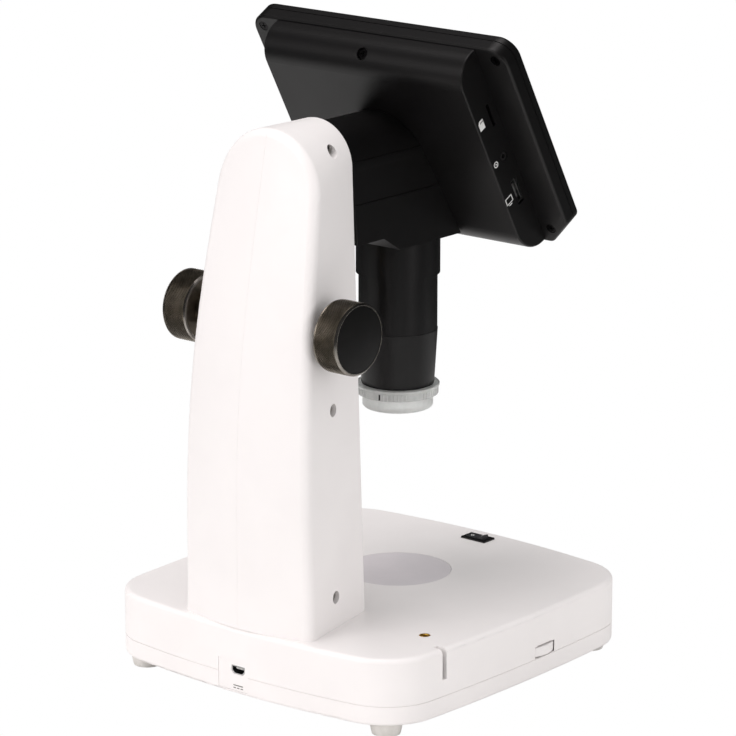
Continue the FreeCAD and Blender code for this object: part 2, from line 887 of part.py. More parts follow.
# the head of a column screw sits this far in from the side wall
def column_screw_seat(y, z):
    k = (y - column_front_y) / (column_back_y - column_front_y)
    foot_half = column_front_half + (column_back_half - column_front_half) * k
    radius = column_front_arch_r + (column_back_arch_r - column_front_arch_r) * k
    centre = column_top_z - radius
    if z > centre:
        half = math.sqrt(radius ** 2 - (z - centre) ** 2)
    else:
        half = foot_half + (radius - foot_half) * (z - base_top_z) / (centre - base_top_z)
    return -(half - column_screw_head_drop)


def column_half(shell, side):
    if side > 0:
        return shell.common(box(part_line / 2, base_width, -base_depth, base_depth, 0, display_top_z))
    return shell.common(box(-base_width, -part_line / 2, -base_depth, base_depth, 0, display_top_z))


def column_screws():
    screws = []
    for y, z in column_screws_at():
        seat_x = column_screw_seat(y, z)
        screws.append(screw(column_screw_r - fit_gap, column_screw_head_r, column_screw_head,
                            column_screw_reach - seat_x, Vec(seat_x, y, z), X))
    return group(screws)


def column_foot_screws():
    sizes = (foot_screw_r - fit_gap, foot_screw_head_r, foot_screw_head, foot_screw_length)
    return group([screw(*sizes, Vec(x, y, base_top_z - base_wall), Z) for x, y in foot_screw_places()])


def guide_rods():
    length = bracket_top_z - rod_bottom_z
    return group([rod(rod_r, Vec(s * rod_x, rod_y, rod_bottom_z), Z, length) for s in (1, -1)])


def rod_bracket(half, z0):
    plate = box(-half, half, rod_y - bracket_depth / 2, rod_y + bracket_depth / 2, z0, z0 + bracket_thickness)
    plate = plate.common(column_solid(column_wall + fit_gap, base_top_z))
    for s in (1, -1):
        plate = plate.cut(rod(rod_r, Vec(s * rod_x, rod_y, z0 - over), Z, bracket_thickness + 2 * over))
    return plate


def shaft_bushings():
    flange_end = bush_face_x()
    bush = rod(bush_r, Vec(bush_inner_x, shaft_y, shaft_z), X, flange_end - bush_inner_x)
    flange = rod(bush_flange_r, Vec(flange_end - bush_flange, shaft_y, shaft_z), X, bush_flange)
    bush = bush.fuse(flange.cut(column_solid(0, base_top_z))).removeSplitter()
    bush = bush.cut(rod(shaft_r + running_gap, Vec(0, shaft_y, shaft_z), X, base_width))
    return group([bush, mirrored(bush)])


def bush_face_x():
    return -column_screw_seat(shaft_y, shaft_z) + column_screw_head_drop + bush_stands_out


def focus_shaft():
    reach = knob_outer_x - shaft_end_inset
    return rod(shaft_r, Vec(-reach, shaft_y, shaft_z), X, 2 * reach)


def gear_points():
    pressure = math.radians(gear_pressure_deg)
    base_r = pinion_r * math.cos(pressure)
    tip_r = pinion_r + gear_addendum
    root_r = pinion_r - gear_dedendum
    half = math.pi / 2 / pinion_teeth - gear_backlash / 4 / pinion_r
    flank = []
    steps = 6
    start_r = max(base_r, root_r)
    for i in range(steps + 1):
        r = start_r + (tip_r - start_r) * i / steps
        a = math.acos(min(1.0, base_r / r))
        flank.append((r, half + (math.tan(pressure) - pressure) - (math.tan(a) - a)))
    points = []
    for tooth in range(pinion_teeth):
        middle = math.pi + 2 * math.pi * tooth / pinion_teeth
        rim = [(root_r, middle - flank[0][1])]
        rim += [(r, middle - a) for r, a in flank]
        rim += [(r, middle + a) for r, a in reversed(flank)]
        rim.append((root_r, middle + flank[0][1]))
        if root_r >= base_r:
            rim = rim[1:-1]
        for r, a in rim:
            points.append(Vec(-pinion_width / 2, shaft_y + r * math.cos(a), shaft_z + r * math.sin(a)))
    return points


def focus_pinion():
    gear = prism(gear_points(), Vec(pinion_width, 0, 0))
    reach = pinion_width / 2 + pinion_hub_length
    hub = rod(shaft_r + pinion_hub_wall, Vec(-reach, shaft_y, shaft_z), X, 2 * reach)
    bore = rod(shaft_r, Vec(-reach - over, shaft_y, shaft_z), X, 2 * reach + 2 * over)
    return gear.fuse(hub).removeSplitter().cut(bore)


def focus_rack():
    pitch = math.pi * gear_module
    slope = math.tan(math.radians(gear_pressure_deg))
    tip = gear_addendum
    root = -gear_dedendum
    half = pitch / 4 - gear_backlash / 4
    low = int(math.ceil(rack_spare / pitch))
    high = int(math.ceil((travel + rack_spare) / pitch))
    x0 = -rack_width / 2
    z_low = shaft_z - low * pitch
    points = [Vec(x0, rack_line_y - rack_back, z_low), Vec(x0, rack_line_y + root, z_low)]
    for i in range(-low, high):
        middle = shaft_z + (i + 0.5) * pitch
        for y, half_here in ((root, half - root * slope), (tip, half - tip * slope)):
            points.append(Vec(x0, rack_line_y + y, middle - half_here))
        for y, half_here in ((tip, half - tip * slope), (root, half - root * slope)):
            points.append(Vec(x0, rack_line_y + y, middle + half_here))
    z_high = shaft_z + high * pitch
    points.append(Vec(x0, rack_line_y + root, z_high))
    points.append(Vec(x0, rack_line_y - rack_back, z_high))
    return prism(points, Vec(rack_width, 0, 0))


def focus_carriage():
    back_y = rack_line_y - rack_back
    block = box(-carriage_half, carriage_half, carriage_front_y, back_y, carriage_bottom_z, carriage_top_z)
    neck = box(-neck_half, neck_half, flange_back_y, carriage_front_y, neck_bottom_z, neck_top_z)
    flange_half = neck_half + neck_flange_lip
    flange = box(-flange_half, flange_half, flange_back_y - neck_flange, flange_back_y,
                 neck_bottom_z - neck_flange_lip, neck_top_z + neck_flange_lip)
    body = fused([block, neck, flange])
    for s in (1, -1):
        start = Vec(s * rod_x, rod_y, carriage_bottom_z - over)
        body = body.cut(rod(rod_r + running_gap, start, Z, 2 * travel))
    front_y = flange_back_y - neck_flange - over
    for x, z in carriage_screw_places():
        body = body.cut(rod(carriage_screw_r + fit_gap, Vec(x, front_y, z), Y, neck_flange + over))
    wire_z = neck_top_z - neck_wire_drop
    wires = box(-neck_wire_half, neck_wire_half, front_y, back_y + over, wire_z, wire_z + neck_wire_height)
    return body.cut(wires)


def carriage_screw_places():
    x = neck_half + neck_flange_lip / 2
    inset = 2 * carriage_screw_r
    return [(s * x, z) for s in (1, -1) for z in (neck_bottom_z + inset, neck_top_z - inset)]


def carriage_screws():
    seat_y = flange_back_y - neck_flange
    length = arm_back_y - arm_skin - seat_y
    sizes = (carriage_screw_r, carriage_screw_head_r, carriage_screw_head, length)
    return group([screw(*sizes, Vec(x, seat_y, z), Y) for x, z in carriage_screw_places()])


def focus_knob():
    outer = rod(knob_r, Vec(knob_inner_x, shaft_y, shaft_z), X, knob_width)
    outer = outer.makeChamfer(knob_chamfer, [e for e in outer.Edges if e.BoundBox.XLength < 1e-4])
    hub_x = bush_face_x() + knob_end_gap
    hub = rod(knob_hub_r, Vec(hub_x, shaft_y, shaft_z), X, knob_inner_x - hub_x + over)
    knob = outer.fuse(hub).removeSplitter()
    seat_x = knob_outer_x - knob_disc_thickness
    knob = knob.cut(rod(knob_disc_r, Vec(seat_x, shaft_y, shaft_z), X, knob_disc_thickness + over))
    return knob.cut(rod(shaft_r, Vec(0, shaft_y, shaft_z), X, knob_outer_x - shaft_end_inset))


def knob_face_discs():
    disc = rod(knob_disc_r, Vec(knob_outer_x - knob_disc_thickness, shaft_y, shaft_z), X, knob_disc_thickness)
    return group([disc, mirrored(disc)])


# everything of the arm lies behind the flat back of the display's hump
def behind_hump(gap):
    reach = 2 * arm_reach
    corner = Vec(-reach, -reach - display_height / 2, -hump_depth - gap - reach)
    return on_display(Part.makeBox(2 * reach, 2 * reach, reach, corner))


def arm_profile(inset):
    half = arm_half_bottom - inset
    radius = arm_arch_r - inset
    back = arm_back_y - inset
    low_z = arm_front_bottom_z + inset
    high_z = arm_back_bottom_z + inset
    body = Part.Face(arch_wire(back, half, radius, arm_top_z - inset, low_z)).extrude(Vec(0, -arm_reach, 0))
    side = -arm_half_bottom - over
    below = arm_front_bottom_z - over
    outline = ((arm_back_y + over, below), (arm_back_y + over, high_z), (arm_slope_back_y, high_z),
               (arm_slope_front_y, low_z), (-arm_reach, low_z), (-arm_reach, below))
    return body.cut(prism([Vec(side, y, z) for y, z in outline], Vec(-2 * side, 0, 0)))


def arm_shell():
    shell = arm_profile(0).cut(arm_profile(arm_wall))
    front_wall = arm_profile(arm_wall / 2).cut(behind_hump(arm_wall))
    shell = shell.fuse(front_wall).common(behind_hump(fit_gap / 2)).removeSplitter()
    cuts = [rod(spigot_r + fit_gap, Vec(0, barrel_y, arm_front_bottom_z - over), Z, arm_wall + 2 * over)]
    inner_y = arm_back_y - arm_wall - over
    length = arm_back_y - arm_skin / 2 - inner_y
    for x, z in carriage_screw_places():
        cuts.append(rod(carriage_screw_r + thread_gap, Vec(x, inner_y, z), Y, length))
    cuts.append(box(-neck_half - fit_gap, neck_half + fit_gap, inner_y, arm_back_y + over,
                    neck_bottom_z - fit_gap, neck_top_z + fit_gap))
    cuts.append(wire_window())
    cuts += arm_screw_holes(arm_screw_r)
    return shell.cut(group(cuts))


def wire_window():
    half = wire_window_size / 2
    return on_display(box(-half, half, -wire_window_drop - half, -wire_window_drop + half,
                          -hump_depth - arm_wall - over, -hump_depth + shell_wall + over))


def arm_screw_holes(radius):
    holes = []
    for drop in arm_screw_drops:
        for s in (1, -1):
            start = Vec(s * arm_screw_x, -drop, -hump_depth - arm_wall - over)
            holes.append(on_display(rod(radius, start, Z, arm_wall + shell_wall + 2 * over)))
    return holes


def arm_slice(shell, z0, z1):
    return shell.common(slab_between(z0, z1))


def line_groove(z):
    ring = arm_profile(-over).cut(arm_profile(arm_line_groove))
    band = box(-base_width, base_width, -arm_reach, arm_back_y - thread_gap, z, z + arm_line_groove * 2)
    return ring.common(band).common(behind_hump(-over))


def barrel_collar():
    height = arm_front_bottom_z - collar_bottom_z
    collar = tube(collar_r, spigot_r, Vec(0, barrel_y, collar_bottom_z), Z, height)
    return collar.cut(on_display(hump_block(-fit_gap, -fit_gap)))


def barrel_body():
    lower = rod(body_r, Vec(0, barrel_y, body_bottom_z), Z, collar_bottom_z - body_bottom_z)
    upper = rod(spigot_r, Vec(0, barrel_y, collar_bottom_z - over), Z, body_top_z - collar_bottom_z + over)
    bore = rod(body_bore_r, Vec(0, barrel_y, body_bottom_z - over), Z, body_top_z - body_bottom_z + 2 * over)
    body = lower.fuse(upper).removeSplitter().cut(bore)
    return body.common(behind_hump(arm_wall + fit_gap).fuse(slab_between(0, arm_front_bottom_z - arm_skin)))


def barrel_nose():
    height = body_bottom_z - nose_bottom_z
    cone = Part.makeCone(nose_bottom_r, nose_top_r, height, Vec(0, barrel_y, nose_bottom_z), Z)
    start = Vec(0, barrel_y, nose_spigot_bottom_z - over)
    spigot = rod(nose_spigot_r, start + Vec(0, 0, over), Z, nose_bottom_z - start.z)
    nose = cone.fuse(spigot).removeSplitter()
    nose = nose.cut(rod(nose_bore_r, start, Z, body_bottom_z - start.z + over))
    web_start = Vec(0, barrel_y, lens_cell_bottom_z + lens_web_rise)
    web = tube(nose_bore_r + over, lens_cell_r, web_start, Z, lens_web_thickness)
    return nose.fuse(web).removeSplitter()


def lens_cell():
    length = lens_cell_top_z - lens_cell_bottom_z
    cell = tube(lens_cell_r, lens_r - 1.0, Vec(0, barrel_y, lens_cell_bottom_z), Z, length)
    seat = over + lens_recess + lens_edge + lens_sag
    return cell.cut(rod(lens_r, Vec(0, barrel_y, lens_cell_bottom_z - over), Z, seat))


def objective_lens():
    z0 = lens_cell_bottom_z + lens_recess
    radius = (lens_r ** 2 + lens_sag ** 2) / (2 * lens_sag)
    blank = rod(lens_r, Vec(0, barrel_y, z0), Z, lens_edge + lens_sag)
    ball = Part.makeSphere(radius, Vec(0, barrel_y, z0 + radius))
    return blank.common(ball)


def led_ring_board():
    return tube(nose_bore_r, lens_cell_r, Vec(0, barrel_y, lens_cell_bottom_z), Z, ring_board_thickness)


def nose_leds():
    leds = []
    half = nose_led_size / 2
    for i in range(nose_led_count):
        a = math.radians(360.0 / nose_led_count * i)
        x = nose_led_circle_r * math.cos(a)
        y = barrel_y + nose_led_circle_r * math.sin(a)
        low = lens_cell_bottom_z - nose_led_height
        leds.append(box(x - half, x + half, y - half, y + half, low, lens_cell_bottom_z))
    return group(leds)


def image_sensor_board():
    half = sensor_board_half
    chip_half = sensor_chip_half
    front_y = barrel_y - sensor_board_front
    board = box(-half, half, front_y, barrel_y + half, body_top_z, body_top_z + board_thickness)
    chip_z = body_top_z - sensor_chip_height
    chip = box(-chip_half, chip_half, barrel_y - chip_half, barrel_y + chip_half, chip_z, body_top_z)
    return board.fuse(chip).removeSplitter()


def nose_ring():
    z0 = ring_bottom_z
    height = nose_bottom_z - ring_top_gap - z0
    ring = rod(ring_r - ring_rib_depth, Vec(0, barrel_y, z0), Z, height)
    flat = rod(ring_r, Vec(0, barrel_y, z0), Z, ring_flange)
    ring = ring.fuse(flat).removeSplitter()
    return ring.cut(rod(nose_spigot_r + running_gap, Vec(0, barrel_y, z0 - over), Z, height + 2 * over))


def nose_cup():
    cup = rod(cup_r, Vec(0, barrel_y, cup_bottom_z), Z, ring_bottom_z - cup_bottom_z)
    cup = cup.makeFillet(cup_edge_round, level_edges(cup, cup_bottom_z))
    floor = Vec(0, barrel_y, cup_bottom_z + cup_wall)
    return cup.cut(rod(cup_r - cup_wall, floor, Z, ring_bottom_z - cup_bottom_z))


# plan of the display housing, in its own flat: x across, y up from -height to 0
def display_outline(inset, z0, z1):
    half = display_width / 2 - inset
    low = -display_height + inset
    slab = Part.makeBox(2 * half, display_height - 2 * inset, z1 - z0, Vec(-half, low, z0))
    upright = [e for e in slab.Edges if e.BoundBox.ZLength > (z1 - z0) * 0.9]
    upper = [e for e in upright if e.BoundBox.YMin > -inset - 1]
    slab = slab.makeFillet(display_corner_r - inset, upper)
    lower = [e for e in slab.Edges if e.BoundBox.ZLength > (z1 - z0) * 0.9 and e.BoundBox.YMax < low + 1e-3]
    slab = slab.makeChamfer(display_low_corner - inset * 0.6, lower)
    below = low + display_low_corner + 1e-3
    bent = [e for e in slab.Edges if e.BoundBox.ZLength > (z1 - z0) * 0.9 and e.BoundBox.YMax < below]
    return slab.makeFillet(display_low_round - inset, bent)


def hump_block(inset, x_inset):
    y1 = -hump_top - inset
    y0 = -hump_bottom + inset
    depth = hump_depth - inset
    half = hump_half - x_inset
    block = Part.makeBox(2 * half, y1 - y0, depth - bezel_thickness, Vec(-half, y0, -depth))
    deep = [e for e in block.Edges if abs(e.BoundBox.ZMax + depth) < 1e-3 and e.BoundBox.XLength > half]
    top = [e for e in deep if e.BoundBox.YMin > y1 - 1]
    block = block.makeFillet(hump_top_round - inset, top)
    deep = [e for e in block.Edges if abs(e.BoundBox.ZMax + depth) < 1e-3 and e.BoundBox.XLength > half
            and e.BoundBox.YMax < y0 + 1]
    return block.makeFillet(hump_bottom_round - inset, deep)


def ledge_screw_places():
    places = []
    for s in (1, -1):
        places.append((s * ledge_screw_x, -ledge_screw_top))
        places.append((s * ledge_screw_bottom_x, -ledge_screw_bottom))
    return places


def hump_screw_axis():
    a = math.radians(hump_screw_angle_deg)
    return Vec(0, math.sin(a), -math.cos(a))


def hump_screw_seat():
    centre = Vec(0, -hump_top - hump_top_round, -hump_depth + hump_top_round)
    return centre + hump_screw_axis() * (hump_top_round - hump_screw_recess)


def display_rear_shell():
    slab = display_outline(0, -ledge_depth, -bezel_thickness)
    rim = [e for e in slab.Edges if abs(e.BoundBox.ZMax + ledge_depth) < 1e-3]
    slab = slab.makeFillet(ledge_round, rim)
    groove_z = -bezel_thickness - housing_groove
    groove = display_outline(0, groove_z, -bezel_thickness)
    slab = slab.cut(groove.cut(display_outline(housing_groove, groove_z, -bezel_thickness)))
    hump = hump_block(0, 0)
    hump = hump.makeFillet(hump_side_round, [e for e in hump.Edges if e.BoundBox.XLength < 1e-3
                                             and e.BoundBox.ZMin < -bezel_thickness - 1e-3])
    shell = slab.fuse(hump).removeSplitter()
    hollow = display_outline(shell_wall, -ledge_depth + shell_wall, -bezel_thickness + over)
    shell = shell.cut(hollow.fuse(hump_block(shell_wall, shell_wall)))
    adds = []
    for x, y in ledge_screw_places():
        low = -ledge_depth + shell_wall / 2
        adds.append(rod(ledge_screw_r + ledge_boss_wall, Vec(x, y, low), Z, -bezel_thickness - low))
    for x, y in main_board_posts():
        low = -hump_depth + shell_wall / 2
        adds.append(rod(post_r, Vec(x, y, low), Z, -main_board_depth - low))
    axis = hump_screw_axis()
    boss_top = hump_screw_seat() + axis * shell_wall / 4
    adds.append(rod(hump_boss_r, boss_top, axis.negative(), hump_screw_length))
    bound = display_outline(0.5, -ledge_depth + 0.5, -bezel_thickness).fuse(hump_block(0.5, 0.5))
    shell = fused([shell] + [a.common(bound) for a in adds])
    cuts = []
    for x, y in ledge_screw_places():
        start = Vec(x, y, -ledge_depth - over)
        cuts.append(rod(ledge_screw_head_r + sliding_gap, start, Z, over + ledge_screw_sink))
        cuts.append(rod(ledge_screw_r + fit_gap, start, Z, ledge_depth))
    cuts.append(rod(hump_screw_recess_r, hump_screw_seat(), axis, hump_depth))
    cuts.append(rod(ledge_screw_r + fit_gap, hump_screw_seat() + axis, axis.negative(), hump_screw_length))
    x0 = -hump_half - over
    x1 = -hump_half + shell_wall + over
    cuts.append(box(x0, x1, -card_slot_top - card_slot_length, -card_slot_top,
                    -card_depth - card_slot_height / 2, -card_depth + card_slot_height / 2))
    cuts.append(rod(av_r + 2 * sliding_gap, Vec(x0, -av_place, -av_depth), X, x1 - x0))
    cuts.append(box(x0, x1, -video_slot_top - video_slot_length, -video_slot_top,
                    -video_depth - video_slot_height / 2, -video_depth + video_slot_height / 2))
    shell = shell.cut(group(cuts))
    shell = on_display(shell)
    return shell.cut(group([wire_window()] + arm_screw_holes(arm_screw_r + fit_gap)))


def display_front_bezel():
    slab = display_outline(0, -bezel_thickness, 0)
    rim = [e for e in slab.Edges if abs(e.BoundBox.ZMin) < 1e-3]
    slab = slab.makeFillet(bezel_round, rim)
    slab = slab.cut(display_outline(shell_wall, -bezel_thickness - over, -bezel_face))
    half = screen_width / 2
    window = box(-half, half, -screen_top - screen_height, -screen_top, -bezel_thickness - over, over)
    slab = slab.cut(window)
    adds = []
    boss_r = ledge_screw_r + ledge_boss_wall
    for x, y in ledge_screw_places():
        adds.append(rod(boss_r, Vec(x, y, -bezel_thickness), Z, bezel_thickness - bezel_face / 2))
    slab = fused([slab] + [a.common(display_outline(bezel_face / 4, -bezel_thickness, 0)) for a in adds])
    outer = key_board_width / 2
    inner = outer - key_board_rest
    rests = [box(min(s * inner, s * outer), max(s * inner, s * outer), -button_row - key_board_rest_half,
                 -button_row + key_board_rest_half, key_board_face(), -bezel_face) for s in (1, -1)]
    slab = fused([slab] + rests)
    back_z = -bezel_thickness - over
    through = bezel_thickness + 2 * over
    cuts = [rod(button_r + sliding_gap, Vec(x, -button_row, back_z), Z, through) for x in button_places()]
    for x, y in ledge_screw_places():
        cuts.append(rod(ledge_screw_r - fit_gap, Vec(x, y, back_z), Z, bezel_thickness))
    return on_display(slab.cut(group(cuts)))


def display_cover_glass():
    half = screen_width / 2 - fit_gap
    low = -screen_top - screen_height + fit_gap
    back_z = -glass_sink - glass_thickness
    return on_display(box(-half, half, low, -screen_top - fit_gap, back_z, -glass_sink))


def display_panel():
    half = screen_width / 2
    low = -screen_top - screen_height
    top_z = -bezel_face - fit_gap
    panel = box(-half - panel_margin, half + panel_margin, low - panel_margin, -screen_top + panel_margin,
                top_z - panel_thickness, top_z)
    front = box(panel_edge - half, half - panel_edge, low + panel_edge, -screen_top - panel_edge,
                top_z - panel_edge, -glass_sink - glass_thickness)
    return on_display(panel.fuse(front).removeSplitter())


def main_board_posts():
    half = main_board_width / 2 - main_board_post_inset
    middle = -hump_top - main_board_drop - main_board_height / 2
    up = main_board_height / 2 - main_board_post_inset
    return [(sx * half, middle + sy * up) for sx in (1, -1) for sy in (1, -1)]


def display_main_board():
    top = -hump_top - main_board_drop
    half = main_board_width / 2
    z0 = -main_board_depth
    board = box(-half, half, top - main_board_height, top, z0, z0 + board_thickness)
    return on_display(board)


def key_board_face():
    return -bezel_face - sliding_gap - button_flange - button_travel - button_end_gap


def key_board():
    half = key_board_width / 2
    z1 = key_board_face()
    low = -button_row - key_board_height / 2
    return on_display(box(-half, half, low, low + key_board_height, z1 - board_thickness, z1))


def button_places():
    return [button_pitch * (i - (len(button_names) - 1) / 2) for i in range(len(button_names))]


def front_button(index):
    x = button_places()[index]
    root_z = -bezel_face - sliding_gap
    cap = rod(button_r, Vec(x, -button_row, root_z), Z, button_rise - root_z)
    rim = [e for e in cap.Edges if abs(e.BoundBox.ZMin - button_rise) < 1e-4]
    cap = cap.makeFillet(button_edge_round, rim)
    flange = rod(button_flange_r, Vec(x, -button_row, root_z - button_flange), Z, button_flange)
    return on_display(cap.fuse(flange).removeSplitter())


def memory_card_socket():
    x0 = -hump_half + shell_wall + sliding_gap
    y0 = -card_slot_top - card_slot_length / 2 - card_socket_size / 2
    z0 = -main_board_depth + board_thickness
    body = box(x0, x0 + card_socket_size, y0, y0 + card_socket_size, z0, -card_depth + card_slot_height)
    low = -card_slot_top - card_slot_length + sliding_gap
    half = card_slot_height / 2 - sliding_gap
    slot = box(x0 - over, x0 + card_slot_length, low, -card_slot_top - sliding_gap,
               -card_depth - half, -card_depth + half)
    return on_display(body.cut(slot))


def av_jack():
    x0 = -hump_half + shell_wall + sliding_gap
    z0 = -main_board_depth + board_thickness
    half = av_body / 2
    body = box(x0, x0 + av_length, -av_place - half, -av_place + half, z0, -av_depth + av_r + av_wall)
    nose = rod(av_r, Vec(x0 - shell_wall, -av_place, -av_depth), X, shell_wall + over)
    bore = rod(av_r - av_wall, Vec(x0 - shell_wall - over, -av_place, -av_depth), X, shell_wall + av_length)
    return on_display(body.fuse(nose).removeSplitter().cut(bore))


def video_port():
    x0 = -hump_half + video_sink
    skin = video_skin
    y1 = -video_slot_top - skin
    y0 = -video_slot_top - video_slot_length + skin
    high = -video_depth + video_slot_height / 2 - 2 * sliding_gap
    low = -video_depth - video_slot_height / 2 + 2 * sliding_gap
    shell = box(x0, x0 + video_socket_size, y0, y1, low, high)
    hole = box(x0 - over, x0 + video_socket_size - over, y0 + skin, y1 - skin, low + skin, high - skin)
    tongue = box(x0 + video_sink, x0 + video_socket_size - skin, y0 + video_tongue_inset,
                 y1 - video_tongue_inset, -video_depth - skin, -video_depth + skin)
    return on_display(fused([shell.cut(hole), tongue]))


def display_housing_screws():
    places = [(Vec(x, y, -ledge_depth + ledge_screw_sink), Z) for x, y in ledge_screw_places()]
    places.append((hump_screw_seat(), hump_screw_axis().negative()))
    radius = ledge_screw_r - fit_gap
    screws = [screw(radius, ledge_screw_head_r, ledge_screw_head, ledge_screw_length, seat, axis)
              for seat, axis in places]
    return group([on_display(each) for each in screws])


def arm_screws():
    sizes = (arm_screw_r, arm_screw_head_r, arm_screw_head, arm_screw_length)
    screws = []
    for drop in arm_screw_drops:
        for s in (1, -1):
            seat = Vec(s * arm_screw_x, -drop, -hump_depth + shell_wall)
            screws.append(screw(*sizes, seat, Z.negative()))
    return group([on_display(each) for each in screws])


shell = column_shell()
arm = arm_shell()
arm = arm.cut(group([line_groove(arm_upper_line_z), line_groove(arm_lower_line_z)]))

save("base_top_shell", base_top_shell())
save("base_bottom_tray", base_bottom_tray())
save("rubber_feet", rubber_feet())
save("tray_screws", tray_screws())
save("stage_diffuser", stage_diffuser())
save("stage_light_board", stage_light_board())
save("stage_leds", stage_leds())
save("base_circuit_board", base_circuit_board())
save("battery_pack", battery_pack())
save("power_switch_frame", power_switch_frame())
save("power_rocker", power_rocker())
save("brightness_wheel", brightness_wheel())
save("accessory_socket", accessory_socket())
save("port_plate", port_plate())
save("usb_power_socket", usb_power_socket())
save("column_left_half", column_half(shell, 1))
save("column_right_half", column_half(shell, -1))
save("column_screws", column_screws())
save("column_foot_screws", column_foot_screws())
save("guide_rods", guide_rods())
save("guide_rod_top_bracket", rod_bracket(top_bracket_half, bracket_top_z - bracket_thickness))
save("guide_rod_bottom_bracket", rod_bracket(bottom_bracket_half, rod_bottom_z))
save("shaft_bushings", shaft_bushings())
save("focus_shaft", focus_shaft())
save("focus_pinion", focus_pinion())
save("focus_knob_left", focus_knob())
save("focus_knob_right", mirrored(focus_knob()))
save("knob_face_discs", knob_face_discs())
save("focus_rack", focus_rack())
save("focus_carriage", focus_carriage())
save("carriage_screws", carriage_screws())
save("arm_top_cover", arm_slice(arm, arm_upper_line_z, arm_top_z + over))
save("arm_middle_shell", arm_slice(arm, arm_lower_line_z, arm_upper_line_z))
save("arm_lower_shell", arm_slice(arm, arm_front_bottom_z - over, arm_lower_line_z))
save("arm_screws", arm_screws())
save("barrel_collar", barrel_collar())
save("barrel_body", barrel_body())
save("barrel_nose", barrel_nose())
save("lens_cell", lens_cell())
save("objective_lens", objective_lens())
save("led_ring_board", led_ring_board())
save("nose_leds", nose_leds())
save("image_sensor_board", image_sensor_board())
save("nose_ring", nose_ring())
save("nose_cup", nose_cup())
save("display_rear_shell", display_rear_shell())
save("display_front_bezel", display_front_bezel())
save("display_cover_glass", display_cover_glass())
save("display_panel", display_panel())
save("display_main_board", display_main_board())
save("key_board", key_board())
save("memory_card_socket", memory_card_socket())
save("av_jack", av_jack())
save("video_port", video_port())
save("display_housing_screws", display_housing_screws())
for index, name in enumerate(button_names):
    save(name, front_button(index))
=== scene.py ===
import bpy
import bmesh
import json
import math
from mathutils import Matrix, Vector
from mathutils.bvhtree import BVHTree


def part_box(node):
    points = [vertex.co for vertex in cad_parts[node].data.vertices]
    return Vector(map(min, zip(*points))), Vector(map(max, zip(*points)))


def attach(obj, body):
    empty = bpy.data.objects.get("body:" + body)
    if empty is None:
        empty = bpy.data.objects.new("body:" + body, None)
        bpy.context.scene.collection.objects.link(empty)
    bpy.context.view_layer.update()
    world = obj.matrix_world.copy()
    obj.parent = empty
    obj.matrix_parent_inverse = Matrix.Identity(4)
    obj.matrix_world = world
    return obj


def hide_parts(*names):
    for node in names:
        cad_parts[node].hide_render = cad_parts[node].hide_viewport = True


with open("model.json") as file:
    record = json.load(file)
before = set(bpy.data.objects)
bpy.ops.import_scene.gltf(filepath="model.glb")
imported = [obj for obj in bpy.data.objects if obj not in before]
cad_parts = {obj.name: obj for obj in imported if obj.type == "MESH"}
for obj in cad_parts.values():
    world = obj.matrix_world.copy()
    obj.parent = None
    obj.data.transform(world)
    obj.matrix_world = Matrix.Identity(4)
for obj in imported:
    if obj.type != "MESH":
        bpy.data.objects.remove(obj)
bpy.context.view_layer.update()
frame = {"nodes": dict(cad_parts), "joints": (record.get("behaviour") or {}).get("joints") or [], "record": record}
scene = bpy.context.scene
mm = 0.001  # the sizes below are written in millimetres
print("frame loaded:", len(frame["nodes"]), "nodes")

# where the pieces sit, read from the frame
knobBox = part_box("focus_knob_left")
shaftLine = (knobBox[0] + knobBox[1]) / 2  # its y and z are the focus shaft's
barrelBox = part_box("barrel_nose")
barrelLine = (barrelBox[0] + barrelBox[1]) / 2
keyPress = next(j for j in frame["joints"] if j["name"] == "button_power_press")
intoDisplay = Vector(keyPress["axis"]).normalized()  # from the screen side into the housing
acrossDisplay = Vector((1, 0, 0))
downDisplay = intoDisplay.cross(acrossDisplay)


# how far a node reaches along one direction, as (lowest, highest)
def reachAlong(nodeName, direction):
    along = [v.co.dot(direction) for v in frame["nodes"][nodeName].data.vertices]
    return min(along), max(along)


frontDepth = reachAlong("display_front_bezel", intoDisplay)[0]
topEdge = reachAlong("display_front_bezel", downDisplay)[0]


# a point by its way across, down and behind the display's front face, in metres
def onDisplay(across, down, behind):
    return acrossDisplay * across + downDisplay * (topEdge + down) + intoDisplay * (frontDepth + behind)


def linearColour(hexText):
    channels = [int(hexText[i:i + 2], 16) / 255 for i in (1, 3, 5)]
    return [c / 12.92 if c <= 0.04045 else ((c + 0.055) / 1.055) ** 2.4 for c in channels] + [1.0]


def addNode(tree, kind, inputs=None, **settings):
    node = tree.nodes.new(kind)
    for name, value in settings.items():
        setattr(node, name, value)
    for key, value in (inputs or {}).items():
        if isinstance(value, bpy.types.NodeSocket):
            tree.links.new(value, node.inputs[key])
        else:
            node.inputs[key].default_value = value
    return node


# a material with its shader and the piece's own coordinates, ready for a pattern
def startMaterial(name, shaderValues):
    material = bpy.data.materials.new(name)
    material.use_nodes = True
    tree = material.node_tree
    tree.nodes.clear()
    shader = addNode(tree, "ShaderNodeBsdfPrincipled", shaderValues)
    addNode(tree, "ShaderNodeOutputMaterial", {"Surface": shader.outputs["BSDF"]})
    coordinates = addNode(tree, "ShaderNodeTexCoord")
    place = addNode(tree, "ShaderNodeMapping", {"Vector": coordinates.outputs["Object"]})
    return material, tree, shader, place.outputs["Vector"]


# fine surface relief: grain across and depth in millimetres
def roughen(tree, shader, place, grain, depth):
    noise = addNode(tree, "ShaderNodeTexNoise", {"Vector": place, "Scale": 1 / (grain * mm), "Detail": 3.0})
    relief = addNode(tree, "ShaderNodeBump", {"Height": noise.outputs["Fac"], "Distance": depth * mm})
    tree.links.new(relief.outputs["Normal"], shader.inputs["Normal"])


